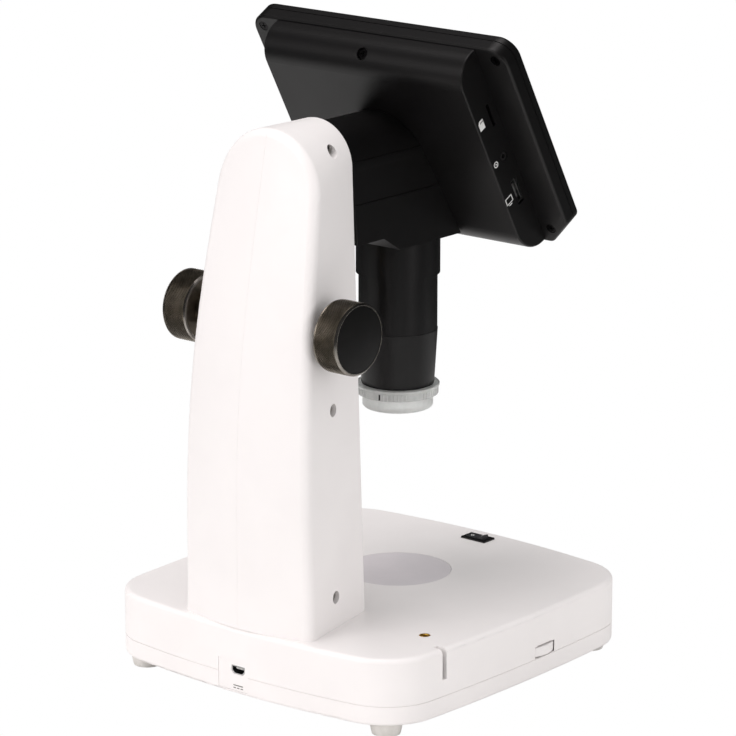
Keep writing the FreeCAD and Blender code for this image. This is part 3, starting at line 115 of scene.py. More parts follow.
# two close colours in soft patches, and the roughness between two values in the same patches
def mottle(tree, shader, place, patch, colourA, colourB, roughA, roughB):
    noise = addNode(tree, "ShaderNodeTexNoise", {"Vector": place, "Scale": 1 / (patch * mm), "Detail": 4.0})
    pattern = noise.outputs["Fac"]
    ramp = addNode(tree, "ShaderNodeMapRange", {"Value": pattern, "From Min": 0.35, "From Max": 0.65})
    colours = addNode(tree, "ShaderNodeMix", {
        0: ramp.outputs["Result"], 6: linearColour(colourA), 7: linearColour(colourB)}, data_type="RGBA")
    tree.links.new(colours.outputs[2], shader.inputs["Base Color"])
    gloss = addNode(tree, "ShaderNodeMapRange", {"Value": pattern, "To Min": roughA, "To Max": roughB})
    tree.links.new(gloss.outputs["Result"], shader.inputs["Roughness"])


# moulded ABS with a fine spark-eroded skin: a clean warm white with broad soft highlights
def whiteAbs():
    look = {"patch": 38, "light": "#f2eeed", "shade": "#efebea", "grain": 0.5, "grainDepth": 0.012}
    material, tree, shader, place = startMaterial("abs_white_moulded", {"IOR": 1.53})
    mottle(tree, shader, place, look["patch"], look["light"], look["shade"], 0.38, 0.50)
    roughen(tree, shader, place, look["grain"], look["grainDepth"])
    return material


# moulded ABS, black, with a satin skin: deep neutral black that greys where it faces the light
def blackAbs():
    look = {"patch": 30, "light": "#0c0b0c", "shade": "#090808", "grain": 0.45, "grainDepth": 0.014}
    material, tree, shader, place = startMaterial("abs_black_satin", {
        "IOR": 1.53, "Specular IOR Level": 0.35})
    mottle(tree, shader, place, look["patch"], look["light"], look["shade"], 0.36, 0.46)
    roughen(tree, shader, place, look["grain"], look["grainDepth"])
    return material


# black lacquered tube: smoother than the housing, with upright soft streaks of light
def blackLacquer():
    look = {"patch": 24, "light": "#080708", "shade": "#060506", "grain": 0.7, "grainDepth": 0.006}
    material, tree, shader, place = startMaterial("lacquer_black_satin", {
        "IOR": 1.5, "Specular IOR Level": 0.38})
    mottle(tree, shader, place, look["patch"], look["light"], look["shade"], 0.30, 0.38)
    roughen(tree, shader, place, look["grain"], look["grainDepth"])
    return material


# gloss ABS of the switch and its frame
def glossBlackAbs():
    material, tree, shader, place = startMaterial("abs_black_gloss", {"IOR": 1.53})
    mottle(tree, shader, place, 6, "#121112", "#0d0c0d", 0.16, 0.24)
    roughen(tree, shader, place, 1.2, 0.004)
    return material


# black-anodised aluminium, knurled: dark gunmetal whose worn peaks catch the light
def anodisedKnurl():
    material, tree, shader, place = startMaterial("aluminium_anodised_knurled", {"Metallic": 1.0})
    mottle(tree, shader, place, 5, "#8a8378", "#6d675d", 0.24, 0.36)
    roughen(tree, shader, place, 0.25, 0.006)
    return material


# bare machined edge of the same metal, bright and finely turned
def machinedEdge():
    material, tree, shader, place = startMaterial("aluminium_turned_edge", {"Metallic": 1.0})
    mottle(tree, shader, place, 4, "#a5a19b", "#86827c", 0.20, 0.28)
    lineStep = 0.35  # millimetres from one turned line to the next
    turned = addNode(tree, "ShaderNodeTexWave", {
        "Vector": place, "Scale": 1 / (lineStep * mm) / 20, "Distortion": 0.3},
        wave_type="RINGS", rings_direction="X")
    relief = addNode(tree, "ShaderNodeBump", {"Height": turned.outputs["Fac"], "Distance": 0.004 * mm})
    tree.links.new(relief.outputs["Normal"], shader.inputs["Normal"])
    return material


# matt black lacquer on the knob's flat face, nearly without reflections
def mattFace():
    material, tree, shader, place = startMaterial("lacquer_black_matt", {
        "IOR": 1.45, "Specular IOR Level": 0.3})
    mottle(tree, shader, place, 9, "#0a0909", "#070606", 0.50, 0.60)
    roughen(tree, shader, place, 0.3, 0.006)
    return material


# moulded polycarbonate: a whitish see-through plastic with grey edges where the light turns
def clearPolycarbonate(name, clearness, roughA, roughB):
    material, tree, shader, place = startMaterial(name, {"IOR": 1.58, "Transmission Weight": clearness})
    mottle(tree, shader, place, 3, "#f3f4f2", "#e6e8e6", roughA, roughB)
    roughen(tree, shader, place, 1.2, 0.02)
    return material


# opal acrylic of the stage: a cool grey white with a dull even face
def opalAcrylic():
    material, tree, shader, place = startMaterial("acrylic_opal", {
        "IOR": 1.49, "Subsurface Weight": 0.25, "Subsurface Radius": (0.004, 0.004, 0.004)})
    mottle(tree, shader, place, 22, "#dcd6d9", "#d6d1d4", 0.42, 0.52)
    roughen(tree, shader, place, 0.4, 0.008)
    return material


# turned brass of the socket's lining
def turnedBrass():
    material, tree, shader, place = startMaterial("brass_turned", {"Metallic": 1.0})
    mottle(tree, shader, place, 2, "#f6cd6c", "#e8bb55", 0.42, 0.52)
    roughen(tree, shader, place, 0.3, 0.01)
    return material


# nickel-plated steel of sockets and screws
def platedSteel(name="steel_nickel_plated", light="#c9c9c8", shade="#a9a9a8"):
    material, tree, shader, place = startMaterial(name, {"Metallic": 1.0})
    mottle(tree, shader, place, 3, light, shade, 0.24, 0.36)
    roughen(tree, shader, place, 0.3, 0.006)
    return material


# blackened screws: dull dark steel
def blackenedSteel():
    return platedSteel("steel_blackened", "#232223", "#161516")


# ground steel rods and shaft, with a fine lengthwise sheen
def groundSteel():
    return platedSteel("steel_ground", "#b8b9ba", "#9fa0a2")


# cast zinc or aluminium, tumbled: dull grey
def castAlloy():
    material, tree, shader, place = startMaterial("alloy_cast", {"Metallic": 1.0})
    mottle(tree, shader, place, 7, "#9a9a98", "#84847f", 0.42, 0.56)
    roughen(tree, shader, place, 0.6, 0.03)
    return material


# soft white thermoplastic rubber of the feet
def whiteRubber():
    material, tree, shader, place = startMaterial("rubber_white", {
        "IOR": 1.5, "Subsurface Weight": 0.15, "Subsurface Radius": (0.002, 0.002, 0.002)})
    mottle(tree, shader, place, 5, "#dfdcd8", "#d3d0cb", 0.55, 0.70)
    roughen(tree, shader, place, 0.4, 0.02)
    return material


# acetal of the bushings and the jack: dull black
def acetal():
    material, tree, shader, place = startMaterial("acetal_black", {"IOR": 1.48})
    mottle(tree, shader, place, 6, "#232222", "#1b1a1a", 0.40, 0.52)
    roughen(tree, shader, place, 0.4, 0.01)
    return material


# glass-fibre board under green solder resist, with faint tracks
def solderResist():
    material, tree, shader, place = startMaterial("board_green_resist", {"IOR": 1.5})
    tracks = addNode(tree, "ShaderNodeTexBrick", {
        "Vector": place, "Color1": linearColour("#14532f"), "Color2": linearColour("#1b6238"),
        "Mortar": linearColour("#0e3f24"), "Scale": 1 / (9 * mm), "Mortar Size": 0.03})
    tree.links.new(tracks.outputs["Color"], shader.inputs["Base Color"])
    shader.inputs["Roughness"].default_value = 0.35
    roughen(tree, shader, place, 1.5, 0.02)
    return material


# the LED's phosphor under a drop of clear resin
def phosphor():
    material, tree, shader, place = startMaterial("led_phosphor", {"IOR": 1.5})
    mottle(tree, shader, place, 1, "#f0dc8a", "#e5c95f", 0.25, 0.35)
    roughen(tree, shader, place, 0.3, 0.01)
    return material


# polyvinyl sleeve round the battery cells
def shrinkSleeve():
    material, tree, shader, place = startMaterial("sleeve_blue_pvc", {"IOR": 1.53})
    mottle(tree, shader, place, 12, "#3558a0", "#2b4a8a", 0.28, 0.38)
    roughen(tree, shader, place, 3.0, 0.05)
    return material


# polished optical glass
def lensGlass():
    material, tree, shader, place = startMaterial("glass_coated_lens", {
        "Base Color": linearColour("#eef2f6"), "IOR": 1.52, "Transmission Weight": 1.0,
        "Coat Weight": 0.4, "Coat Roughness": 0.02})
    noise = addNode(tree, "ShaderNodeTexNoise", {"Vector": place, "Scale": 1 / (4 * mm)})
    gloss = addNode(tree, "ShaderNodeMapRange", {
        "Value": noise.outputs["Fac"], "To Min": 0.01, "To Max": 0.04})
    tree.links.new(gloss.outputs["Result"], shader.inputs["Roughness"])
    return material


# the switched-off screen behind its cover: near-black with a faint cool cast
def darkScreen():
    material, tree, shader, place = startMaterial("screen_switched_off", {
        "IOR": 1.5, "Coat Weight": 0.6, "Coat Roughness": 0.03})
    mottle(tree, shader, place, 45, "#15181d", "#101216", 0.20, 0.28)
    roughen(tree, shader, place, 0.3, 0.002)
    return material


# grey silk-screened key tops
def softKey():
    material, tree, shader, place = startMaterial("abs_grey_key", {"IOR": 1.53})
    mottle(tree, shader, place, 5, "#3b3b3d", "#323234", 0.34, 0.44)
    roughen(tree, shader, place, 0.4, 0.01)
    return material


# screen-printed ink, a thin dull film
def ink(name, light, shade):
    material, tree, shader, place = startMaterial(name, {"IOR": 1.5})
    mottle(tree, shader, place, 1.5, light, shade, 0.5, 0.62)
    roughen(tree, shader, place, 0.2, 0.004)
    return material


finishes = {
    "white_abs": whiteAbs(), "black_abs": blackAbs(), "black_anodised": anodisedKnurl(),
    "knob_face": mattFace(), "bright_steel": platedSteel(),
    "screw_steel": platedSteel("steel_zinc_plated", "#b5b4b0", "#989793"), "black_screw": blackenedSteel(),
    "brass": turnedBrass(), "cast_alloy": castAlloy(),
    "clear_acrylic": clearPolycarbonate("polycarbonate_clear", 0.45, 0.10, 0.22),
    "frosted_acrylic": opalAcrylic(), "lens_glass": lensGlass(), "cover_glass": lensGlass(),
    "display_panel": darkScreen(), "circuit_board": solderResist(), "led_lens": phosphor(),
    "battery_wrap": shrinkSleeve(), "soft_rubber": whiteRubber(), "black_nylon": acetal(),
    "grey_key": softKey(),
}
lacquer = blackLacquer()
glossBlack = glossBlackAbs()
edgeMetal = machinedEdge()
steelRods = groundSteel()
whiteInk = ink("ink_white", "#e9e9e7", "#d9d9d6")
greyInk = ink("ink_grey", "#6f6f6c", "#5f5f5c")
blackInk = ink("ink_black", "#1a1919", "#121111")
diffuser = clearPolycarbonate("polycarbonate_etched", 0.6, 0.28, 0.42)

slotOf = {part["node"]: part["material_slot"] for part in frame["record"]["subparts"]}
special = {
    "barrel_collar": lacquer, "barrel_body": lacquer, "barrel_nose": lacquer,
    "power_switch_frame": glossBlack,
    "guide_rods": steelRods, "focus_shaft": steelRods, "nose_cup": diffuser,
}
for nodeName, nodeObject in frame["nodes"].items():
    nodeObject.data.materials.clear()
    nodeObject.data.materials.append(special.get(nodeName, finishes[slotOf[nodeName]]))
print("finishes made:", len(bpy.data.materials))


def newPiece(name, mesh, body, slot, *replaced):
    piece = bpy.data.objects.new(name, mesh)
    scene.collection.objects.link(piece)
    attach(piece, body)
    if replaced:
        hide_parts(*replaced)
    return piece


def meshFrom(bm, name, *materials, smoothAngle=35):
    bmesh.ops.remove_doubles(bm, verts=bm.verts, dist=1e-6)
    bmesh.ops.recalc_face_normals(bm, faces=bm.faces)
    mesh = bpy.data.meshes.new(name)
    bm.to_mesh(mesh)
    bm.free()
    for material in materials:
        mesh.materials.append(material)
    mesh.polygons.foreach_set("use_smooth", [True] * len(mesh.polygons))
    mesh.set_sharp_from_angle(angle=math.radians(smoothAngle))
    return mesh


# turns a profile of (along, radius) points round an axis; a point may name its band's material
def turnProfile(bm, profile, start, axis, steps=96):
    axis = Vector(axis).normalized()
    side = axis.orthogonal().normalized()
    other = axis.cross(side)
    rings = []
    for along, radius, *_ in profile:
        centre = Vector(start) + axis * along * mm
        if radius < 1e-6:
            rings.append([bm.verts.new(centre)])
            continue
        around = [2 * math.pi * i / steps for i in range(steps)]
        rings.append([bm.verts.new(centre + (side * math.cos(a) + other * math.sin(a)) * radius * mm)
                      for a in around])
    for index, (lower, upper) in enumerate(zip(rings, rings[1:])):
        band = profile[index + 1][2] if len(profile[index + 1]) > 2 else 0
        for i in range(steps):
            corners = [lower[i % len(lower)], lower[(i + 1) % len(lower)],
                       upper[(i + 1) % len(upper)], upper[i % len(upper)]]
            corners = list(dict.fromkeys(corners))
            if len(corners) > 2:
                bm.faces.new(corners).material_index = band


def socketId(tree, name):
    return next(item.identifier for item in tree.interface.items_tree
                if item.item_type == "SOCKET" and item.in_out == "INPUT" and item.name == name)


def startTree(name, inputs):
    tree = bpy.data.node_groups.new(name, "GeometryNodeTree")
    tree.interface.new_socket("Geometry", in_out="INPUT", socket_type="NodeSocketGeometry")
    tree.interface.new_socket("Geometry", in_out="OUTPUT", socket_type="NodeSocketGeometry")
    for label, kind in inputs.items():
        tree.interface.new_socket(label, in_out="INPUT", socket_type="NodeSocket" + kind)
    return tree, addNode(tree, "NodeGroupInput").outputs


def endTree(tree, instances, material):
    solid = addNode(tree, "GeometryNodeRealizeInstances", {"Geometry": instances})
    finish = addNode(tree, "GeometryNodeSetMaterial", {"Geometry": solid.outputs[0], "Material": material})
    addNode(tree, "NodeGroupOutput", {"Geometry": finish.outputs[0]})


# runs a tree on a start mesh and gives back a plain mesh
def growMesh(name, tree, values, startMesh=None):
    holder = bpy.data.objects.new(name + "_start", startMesh or bpy.data.meshes.new(name + "_start"))
    scene.collection.objects.link(holder)
    modifier = holder.modifiers.new("grow", "NODES")
    modifier.node_group = tree
    for label, value in values.items():
        modifier[socketId(tree, label)] = value
    depsgraph = bpy.context.evaluated_depsgraph_get()
    mesh = bpy.data.meshes.new_from_object(holder.evaluated_get(depsgraph), depsgraph=depsgraph)
    mesh.name = name
    holder.modifiers.clear()
    bpy.data.objects.remove(holder)
    return mesh


# knurling: rows of four-sided points, each row half a step on from the last, wrapped round an axis along X
def knurlTree():
    tree, given = startTree("knurled_band", {
        "Points Round": "Int", "Rows": "Int", "Radius": "Float", "Row Step": "Float", "Height": "Float",
        "Middle": "Vector", "Metal": "Material"})
    known = {name: given[name] for name in ("Points Round", "Rows", "Radius", "Row Step")}
    known["index"] = addNode(tree, "GeometryNodeInputIndex").outputs[0]
    sums = [
        ("count", "MULTIPLY", "Points Round", "Rows"),
        ("part row", "DIVIDE", "index", "Points Round"),
        ("row", "FLOOR", "part row"),
        ("before row", "MULTIPLY", "row", "Points Round"),
        ("column", "SUBTRACT", "index", "before row"),
        ("odd row", "MODULO", "row", 2.0),
        ("shift", "MULTIPLY", "odd row", 0.5),
        ("step", "DIVIDE", 2 * math.pi, "Points Round"),
        ("place in row", "ADD", "column", "shift"),
        ("turn", "MULTIPLY", "place in row", "step"),
        ("last row", "SUBTRACT", "Rows", 1.0),
        ("middle row", "MULTIPLY", "last row", 0.5),
        ("rows off", "SUBTRACT", "row", "middle row"),
        ("along", "MULTIPLY", "rows off", "Row Step"),
        ("sine", "SINE", "turn"),
        ("cosine", "COSINE", "turn"),
        ("back radius", "MULTIPLY", "Radius", -1.0),
        ("sideways", "MULTIPLY", "sine", "back radius"),
        ("upwards", "MULTIPLY", "cosine", "Radius"),
        ("chord", "MULTIPLY", "Radius", "step"),
        ("half chord", "MULTIPLY", "chord", 0.5),
    ]
    for name, operation, *values in sums:
        inputs = {i: known.get(value, value) for i, value in enumerate(values)}
        known[name] = addNode(tree, "ShaderNodeMath", inputs, operation=operation).outputs[0]
    points = addNode(tree, "GeometryNodePoints", {"Count": known["count"]})
    spot = addNode(tree, "ShaderNodeCombineXYZ", {
        "X": known["along"], "Y": known["sideways"], "Z": known["upwards"]})
    moved = addNode(tree, "ShaderNodeVectorMath", {0: spot.outputs[0], 1: given["Middle"]}, operation="ADD")
    placed = addNode(tree, "GeometryNodeSetPosition", {
        "Geometry": points.outputs[0], "Position": moved.outputs[0]})
    spike = addNode(tree, "GeometryNodeMeshCone", {
        "Vertices": 4, "Radius Top": 0.22, "Radius Bottom": 1.0, "Depth": 1.0})
    facing = addNode(tree, "ShaderNodeCombineXYZ", {"X": known["turn"]})
    size = addNode(tree, "ShaderNodeCombineXYZ", {
        "X": given["Row Step"], "Y": known["half chord"], "Z": given["Height"]})
    spikes = addNode(tree, "GeometryNodeInstanceOnPoints", {
        "Points": placed.outputs[0], "Instance": spike.outputs["Mesh"], "Rotation": facing.outputs[0],
        "Scale": size.outputs[0]})
    endTree(tree, spikes.outputs[0], given["Metal"])
    return tree


# ribs standing round an upright axis, over part of the turn
def ribTree():
    tree, given = startTree("upright_ribs", {
        "Ribs": "Int", "First Turn": "Float", "Turn Step": "Float", "Radius": "Float", "Rib Size": "Vector",
        "Middle": "Vector", "Plastic": "Material"})
    known = {name: given[name] for name in ("First Turn", "Turn Step", "Radius")}
    known["index"] = addNode(tree, "GeometryNodeInputIndex").outputs[0]
    sums = [
        ("steps", "MULTIPLY", "index", "Turn Step"),
        ("turn", "ADD", "First Turn", "steps"),
        ("cosine", "COSINE", "turn"),
        ("sine", "SINE", "turn"),
        ("sideways", "MULTIPLY", "cosine", "Radius"),
        ("behind", "MULTIPLY", "sine", "Radius"),
    ]
    for name, operation, *values in sums:
        inputs = {i: known.get(value, value) for i, value in enumerate(values)}
        known[name] = addNode(tree, "ShaderNodeMath", inputs, operation=operation).outputs[0]
    points = addNode(tree, "GeometryNodePoints", {"Count": given["Ribs"]})
    spot = addNode(tree, "ShaderNodeCombineXYZ", {"X": known["sideways"], "Y": known["behind"]})
    moved = addNode(tree, "ShaderNodeVectorMath", {0: spot.outputs[0], 1: given["Middle"]}, operation="ADD")
    placed = addNode(tree, "GeometryNodeSetPosition", {
        "Geometry": points.outputs[0], "Position": moved.outputs[0]})
    rib = addNode(tree, "GeometryNodeMeshCylinder", {"Vertices": 10, "Radius": 0.5, "Depth": 1.0})
    facing = addNode(tree, "ShaderNodeCombineXYZ", {"Z": known["turn"]})
    ribs = addNode(tree, "GeometryNodeInstanceOnPoints", {
        "Points": placed.outputs[0], "Instance": rib.outputs["Mesh"], "Rotation": facing.outputs[0],
        "Scale": given["Rib Size"]})
    endTree(tree, ribs.outputs[0], given["Plastic"])
    return tree


# puts one fitting on each marked point, its own Z along the mark's normal
def fittingTree():
    tree, given = startTree("fitting_on_marks", {"Fitting": "Object", "Metal": "Material"})
    fitting = addNode(tree, "GeometryNodeObjectInfo", {"Object": given["Fitting"]})
    facing = addNode(tree, "GeometryNodeInputNamedAttribute", {"Name": "facing"}, data_type="FLOAT_VECTOR")
    turned = addNode(tree, "FunctionNodeAlignRotationToVector", {"Vector": facing.outputs[0]}, axis="Z")
    placed = addNode(tree, "GeometryNodeInstanceOnPoints", {
        "Points": given["Geometry"], "Instance": fitting.outputs["Geometry"], "Rotation": turned.outputs[0]})
    endTree(tree, placed.outputs[0], given["Metal"])
    return tree


def marksMesh(name, marks):
    mesh = bpy.data.meshes.new(name)
    mesh.from_pydata([place for place, _ in marks], [], [])
    facing = mesh.attributes.new("facing", "FLOAT_VECTOR", "POINT")
    for i, (_, direction) in enumerate(marks):
        facing.data[i].vector = direction
    return mesh


trees = {"knurl": knurlTree(), "ribs": ribTree(), "fittings": fittingTree()}
print("node trees built:", len(trees))


def focusKnobs():
    knob = {"chamfer": 0.8, "knurlPitch": 1.05, "knurlHeight": 0.42, "discGap": 0.12, "discDepth": 1.0,
            "hubRadius": 8.0, "hubChamfer": 0.4, "spindle": 4.0, "innerDish": 0.6, "rimStart": 12.0,
            "groove": 0.3, "knurlSink": 0.03, "knurlMargin": 0.8}
    radius = (knobBox[1].z - knobBox[0].z) / mm / 2
    outer = knobBox[1].x / mm
    hubInner = knobBox[0].x / mm
    discRadius = (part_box("knob_face_discs")[1].z - shaftLine.z) / mm
    rim = [v.co.x for v in frame["nodes"]["focus_knob_left"].data.vertices
           if math.hypot(v.co.y - shaftLine.y, v.co.z - shaftLine.z) > knob["rimStart"] * mm]
    inner = min(rim) / mm
    edge = knob["chamfer"]
    dish = inner + knob["innerDish"]
    seatDepth = outer - knob["discDepth"]
    groove = outer - edge - knob["groove"] - 0.2
    band = radius - knob["knurlHeight"]
    shoulder = radius - edge
    hubEdge = knob["hubChamfer"]
    profile = [
        (hubInner, knob["spindle"]), (hubInner, knob["hubRadius"] - hubEdge),
        (hubInner + hubEdge, knob["hubRadius"]), (dish, knob["hubRadius"]), (dish, shoulder - 1.6),
        (inner, shoulder - 1.0), (inner, shoulder, 1), (inner + edge * 0.8, band + 0.1, 1),
        (inner + edge, band), (groove, band), (groove, band - knob["groove"]),
        (groove + knob["groove"], band - knob["groove"]), (outer - edge - 0.1, radius - 0.2, 1),
        (outer - edge, radius - 0.08, 1), (outer - 0.15, shoulder + 0.1, 1), (outer, shoulder - 0.05, 1),
        (outer, discRadius + knob["discGap"], 1), (seatDepth + 0.1, discRadius + knob["discGap"]),
        (seatDepth, 0.0)]
    discProfile = [(seatDepth, 0.0), (seatDepth, discRadius), (outer - 0.25, discRadius),
                   (outer - 0.08, discRadius - 0.08), (outer, discRadius - 0.3), (outer, 0.0)]
    start = (0, shaftLine.y, shaftLine.z)
    pitch = knob["knurlPitch"]
    rows = int((outer - inner - 2 * edge - knob["knurlMargin"]) / (pitch / 2))
    for side, nodeName, label in ((1, "focus_knob_left", "left"), (-1, "focus_knob_right", "right")):
        bm = bmesh.new()
        turnProfile(bm, profile, start, (side, 0, 0), 128)
        body = meshFrom(bm, "knob_turned_" + label, finishes["black_anodised"], edgeMetal)
        newPiece("knob_body_" + label, body, "focus_drive", "black_anodised", nodeName)
        middleAcross = side * (outer + inner - knob["knurlMargin"] / 2) / 2 * mm
        spikes = growMesh("knob_knurl_" + label, trees["knurl"], {
            "Points Round": int(round(2 * math.pi * radius / pitch)), "Rows": rows,
            "Radius": (band - knob["knurlSink"]) * mm, "Row Step": pitch / 2 * mm,
            "Height": (knob["knurlHeight"] + knob["knurlSink"]) * mm,
            "Middle": Vector((middleAcross, shaftLine.y, shaftLine.z)), "Metal": finishes["black_anodised"]})
        newPiece("knob_knurl_" + label, spikes, "focus_drive", "black_anodised")
        bm = bmesh.new()
        turnProfile(bm, discProfile, start, (side, 0, 0), 96)
        face = meshFrom(bm, "knob_disc_" + label, finishes["knob_face"])
        replaced = ["knob_face_discs"] if side > 0 else []  # one node holds both discs
        newPiece("knob_face_" + label, face, "focus_drive", "knob_face", *replaced)


focusKnobs()
print("knobs turned and knurled")


# pan head with a cross recess; its own Z points out of the head, its seat at the origin
def screwFitting(name, size, material):
    head = bmesh.new()
    turnProfile(head, [(-size["length"], 0.0), (-size["length"], size["shank"] * 0.7),
                       (-size["length"] + 0.8, size["shank"]), (0.0, size["shank"]), (0.0, size["head"]),
                       (size["height"] * 0.45, size["head"]), (size["height"] * 0.8, size["head"] * 0.86),
                       (size["height"], size["head"] * 0.55), (size["height"] * 1.02, 0.0)],
                (0, 0, 0), (0, 0, 1), 40)
    mesh = meshFrom(head, name, material)
    fitting = bpy.data.objects.new(name, mesh)
    scene.collection.objects.link(fitting)
    cross = bmesh.new()
    for turn in (0, 90):
        spin = Matrix.Rotation(math.radians(turn), 4, "Z")
        wide = size["head"] * 0.62 * mm
        thin = size["head"] * 0.12 * mm
        top = size["height"] * 1.3 * mm
        bottom = size["height"] * 0.35 * mm
        signs = ((1, 1), (-1, 1), (-1, -1), (1, -1))
        upper = [Vector((sx * wide, sy * thin, top)) for sx, sy in signs]
        lower = [Vector((sx * wide * 0.45, sy * thin * 0.8, bottom)) for sx, sy in signs]
        verts = [cross.verts.new(spin @ p) for p in upper + lower]
        for quad in ((0, 1, 2, 3), (7, 6, 5, 4), (0, 4, 5, 1), (1, 5, 6, 2), (2, 6, 7, 3), (3, 7, 4, 0)):
            cross.faces.new([verts[i] for i in quad])
    cutter = bpy.data.objects.new(name + "_cross", meshFrom(cross, name + "_cross"))
    scene.collection.objects.link(cutter)
    cut = fitting.modifiers.new("cross", "BOOLEAN")
    cut.object = cutter
    cut.operation = "DIFFERENCE"
    cut.solver = "EXACT"
    cut.use_self = True
    depsgraph = bpy.context.evaluated_depsgraph_get()
    fitting.data = bpy.data.meshes.new_from_object(fitting.evaluated_get(depsgraph), depsgraph=depsgraph)
    fitting.modifiers.clear()
    bpy.data.objects.remove(cutter)
    return fitting


def placeFittings(name, fitting, marks, body, slot, material, *replaced):
    mesh = growMesh(name, trees["fittings"], {"Fitting": fitting, "Metal": material},
                    marksMesh(name + "_marks", marks))
    bpy.data.objects.remove(fitting)
    mesh.polygons.foreach_set("use_smooth", [True] * len(mesh.polygons))
    mesh.set_sharp_from_angle(angle=math.radians(35))
    return newPiece(name, mesh, body, slot, *replaced)


# connected solids of a CAD node, each as (lowest corner, highest corner)
def solidBoxes(nodeName):
    bm = bmesh.new()
    bm.from_mesh(frame["nodes"][nodeName].data)
    bmesh.ops.remove_doubles(bm, verts=bm.verts, dist=1e-6)
    boxes = []
    unseen = set(bm.verts)
    while unseen:
        stack = [unseen.pop()]
        members = []
        while stack:
            vert = stack.pop()
            members.append(vert.co.copy())
            for edge in vert.link_edges:
                other = edge.other_vert(vert)
                if other in unseen:
                    unseen.remove(other)
                    stack.append(other)
        boxes.append((Vector([min(p[i] for p in members) for i in range(3)]),
                      Vector([max(p[i] for p in members) for i in range(3)])))
    bm.free()
    return sorted(boxes, key=lambda b: tuple(b[0]))


# screws of the stand: their heads point to the lower end of one axis (0 is X, 2 is Z)
def standScrews(name, nodeName, axis, size):
    outwards = Vector((0, 0, 0))
    outwards[axis] = -1
    marks = []
    for low, high in solidBoxes(nodeName):
        underHead = (low + high) / 2
        underHead[axis] = low[axis] + size["height"] * mm
        marks.append((underHead, outwards))
    placeFittings(name, screwFitting(nodeName + "_shape", size, finishes["screw_steel"]), marks, "stand",
                  "screw_steel", finishes["screw_steel"], nodeName)


columnScrew = {"head": 2.7, "height": 1.6, "shank": 1.4, "length": 24.0}
trayScrew = {"head": 2.8, "height": 1.8, "shank": 1.3, "length": 14.0}
standScrews("column_side_screws", "column_screws", 0, columnScrew)
standScrews("tray_cross_screws", "tray_screws", 2, trayScrew)
print("screws set in the stand")


def feet():
    foot = {"bottom": 6.5, "top": 7.5, "height": 6.5, "seat": 1.0, "ring": 3.6}
    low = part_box("rubber_feet")[0]
    bm = bmesh.new()
    turnProfile(bm, [(0.5, 0.0), (0.5, foot["ring"]), (0.0, foot["ring"] + 0.5), (0.0, foot["bottom"] - 0.9),
                     (0.25, foot["bottom"] - 0.25), (0.9, foot["bottom"]), (3.6, foot["bottom"] + 0.55),
                     (foot["height"], foot["top"]), (foot["height"] + foot["seat"], foot["top"]),
                     (foot["height"] + foot["seat"], 0.0)], (0, 0, 0), (0, 0, 1), 64)
    fitting = bpy.data.objects.new("foot", meshFrom(bm, "foot", finishes["soft_rubber"]))
    scene.collection.objects.link(fitting)
    marks = []
    for lowest, highest in solidBoxes("rubber_feet"):
        middle = (lowest + highest) / 2
        marks.append((Vector((middle.x, middle.y, low.z)), Vector((0, 0, 1))))
    placeFittings("moulded_feet", fitting, marks, "stand", "soft_rubber", finishes["soft_rubber"],
                  "rubber_feet")


feet()
print("feet moulded")


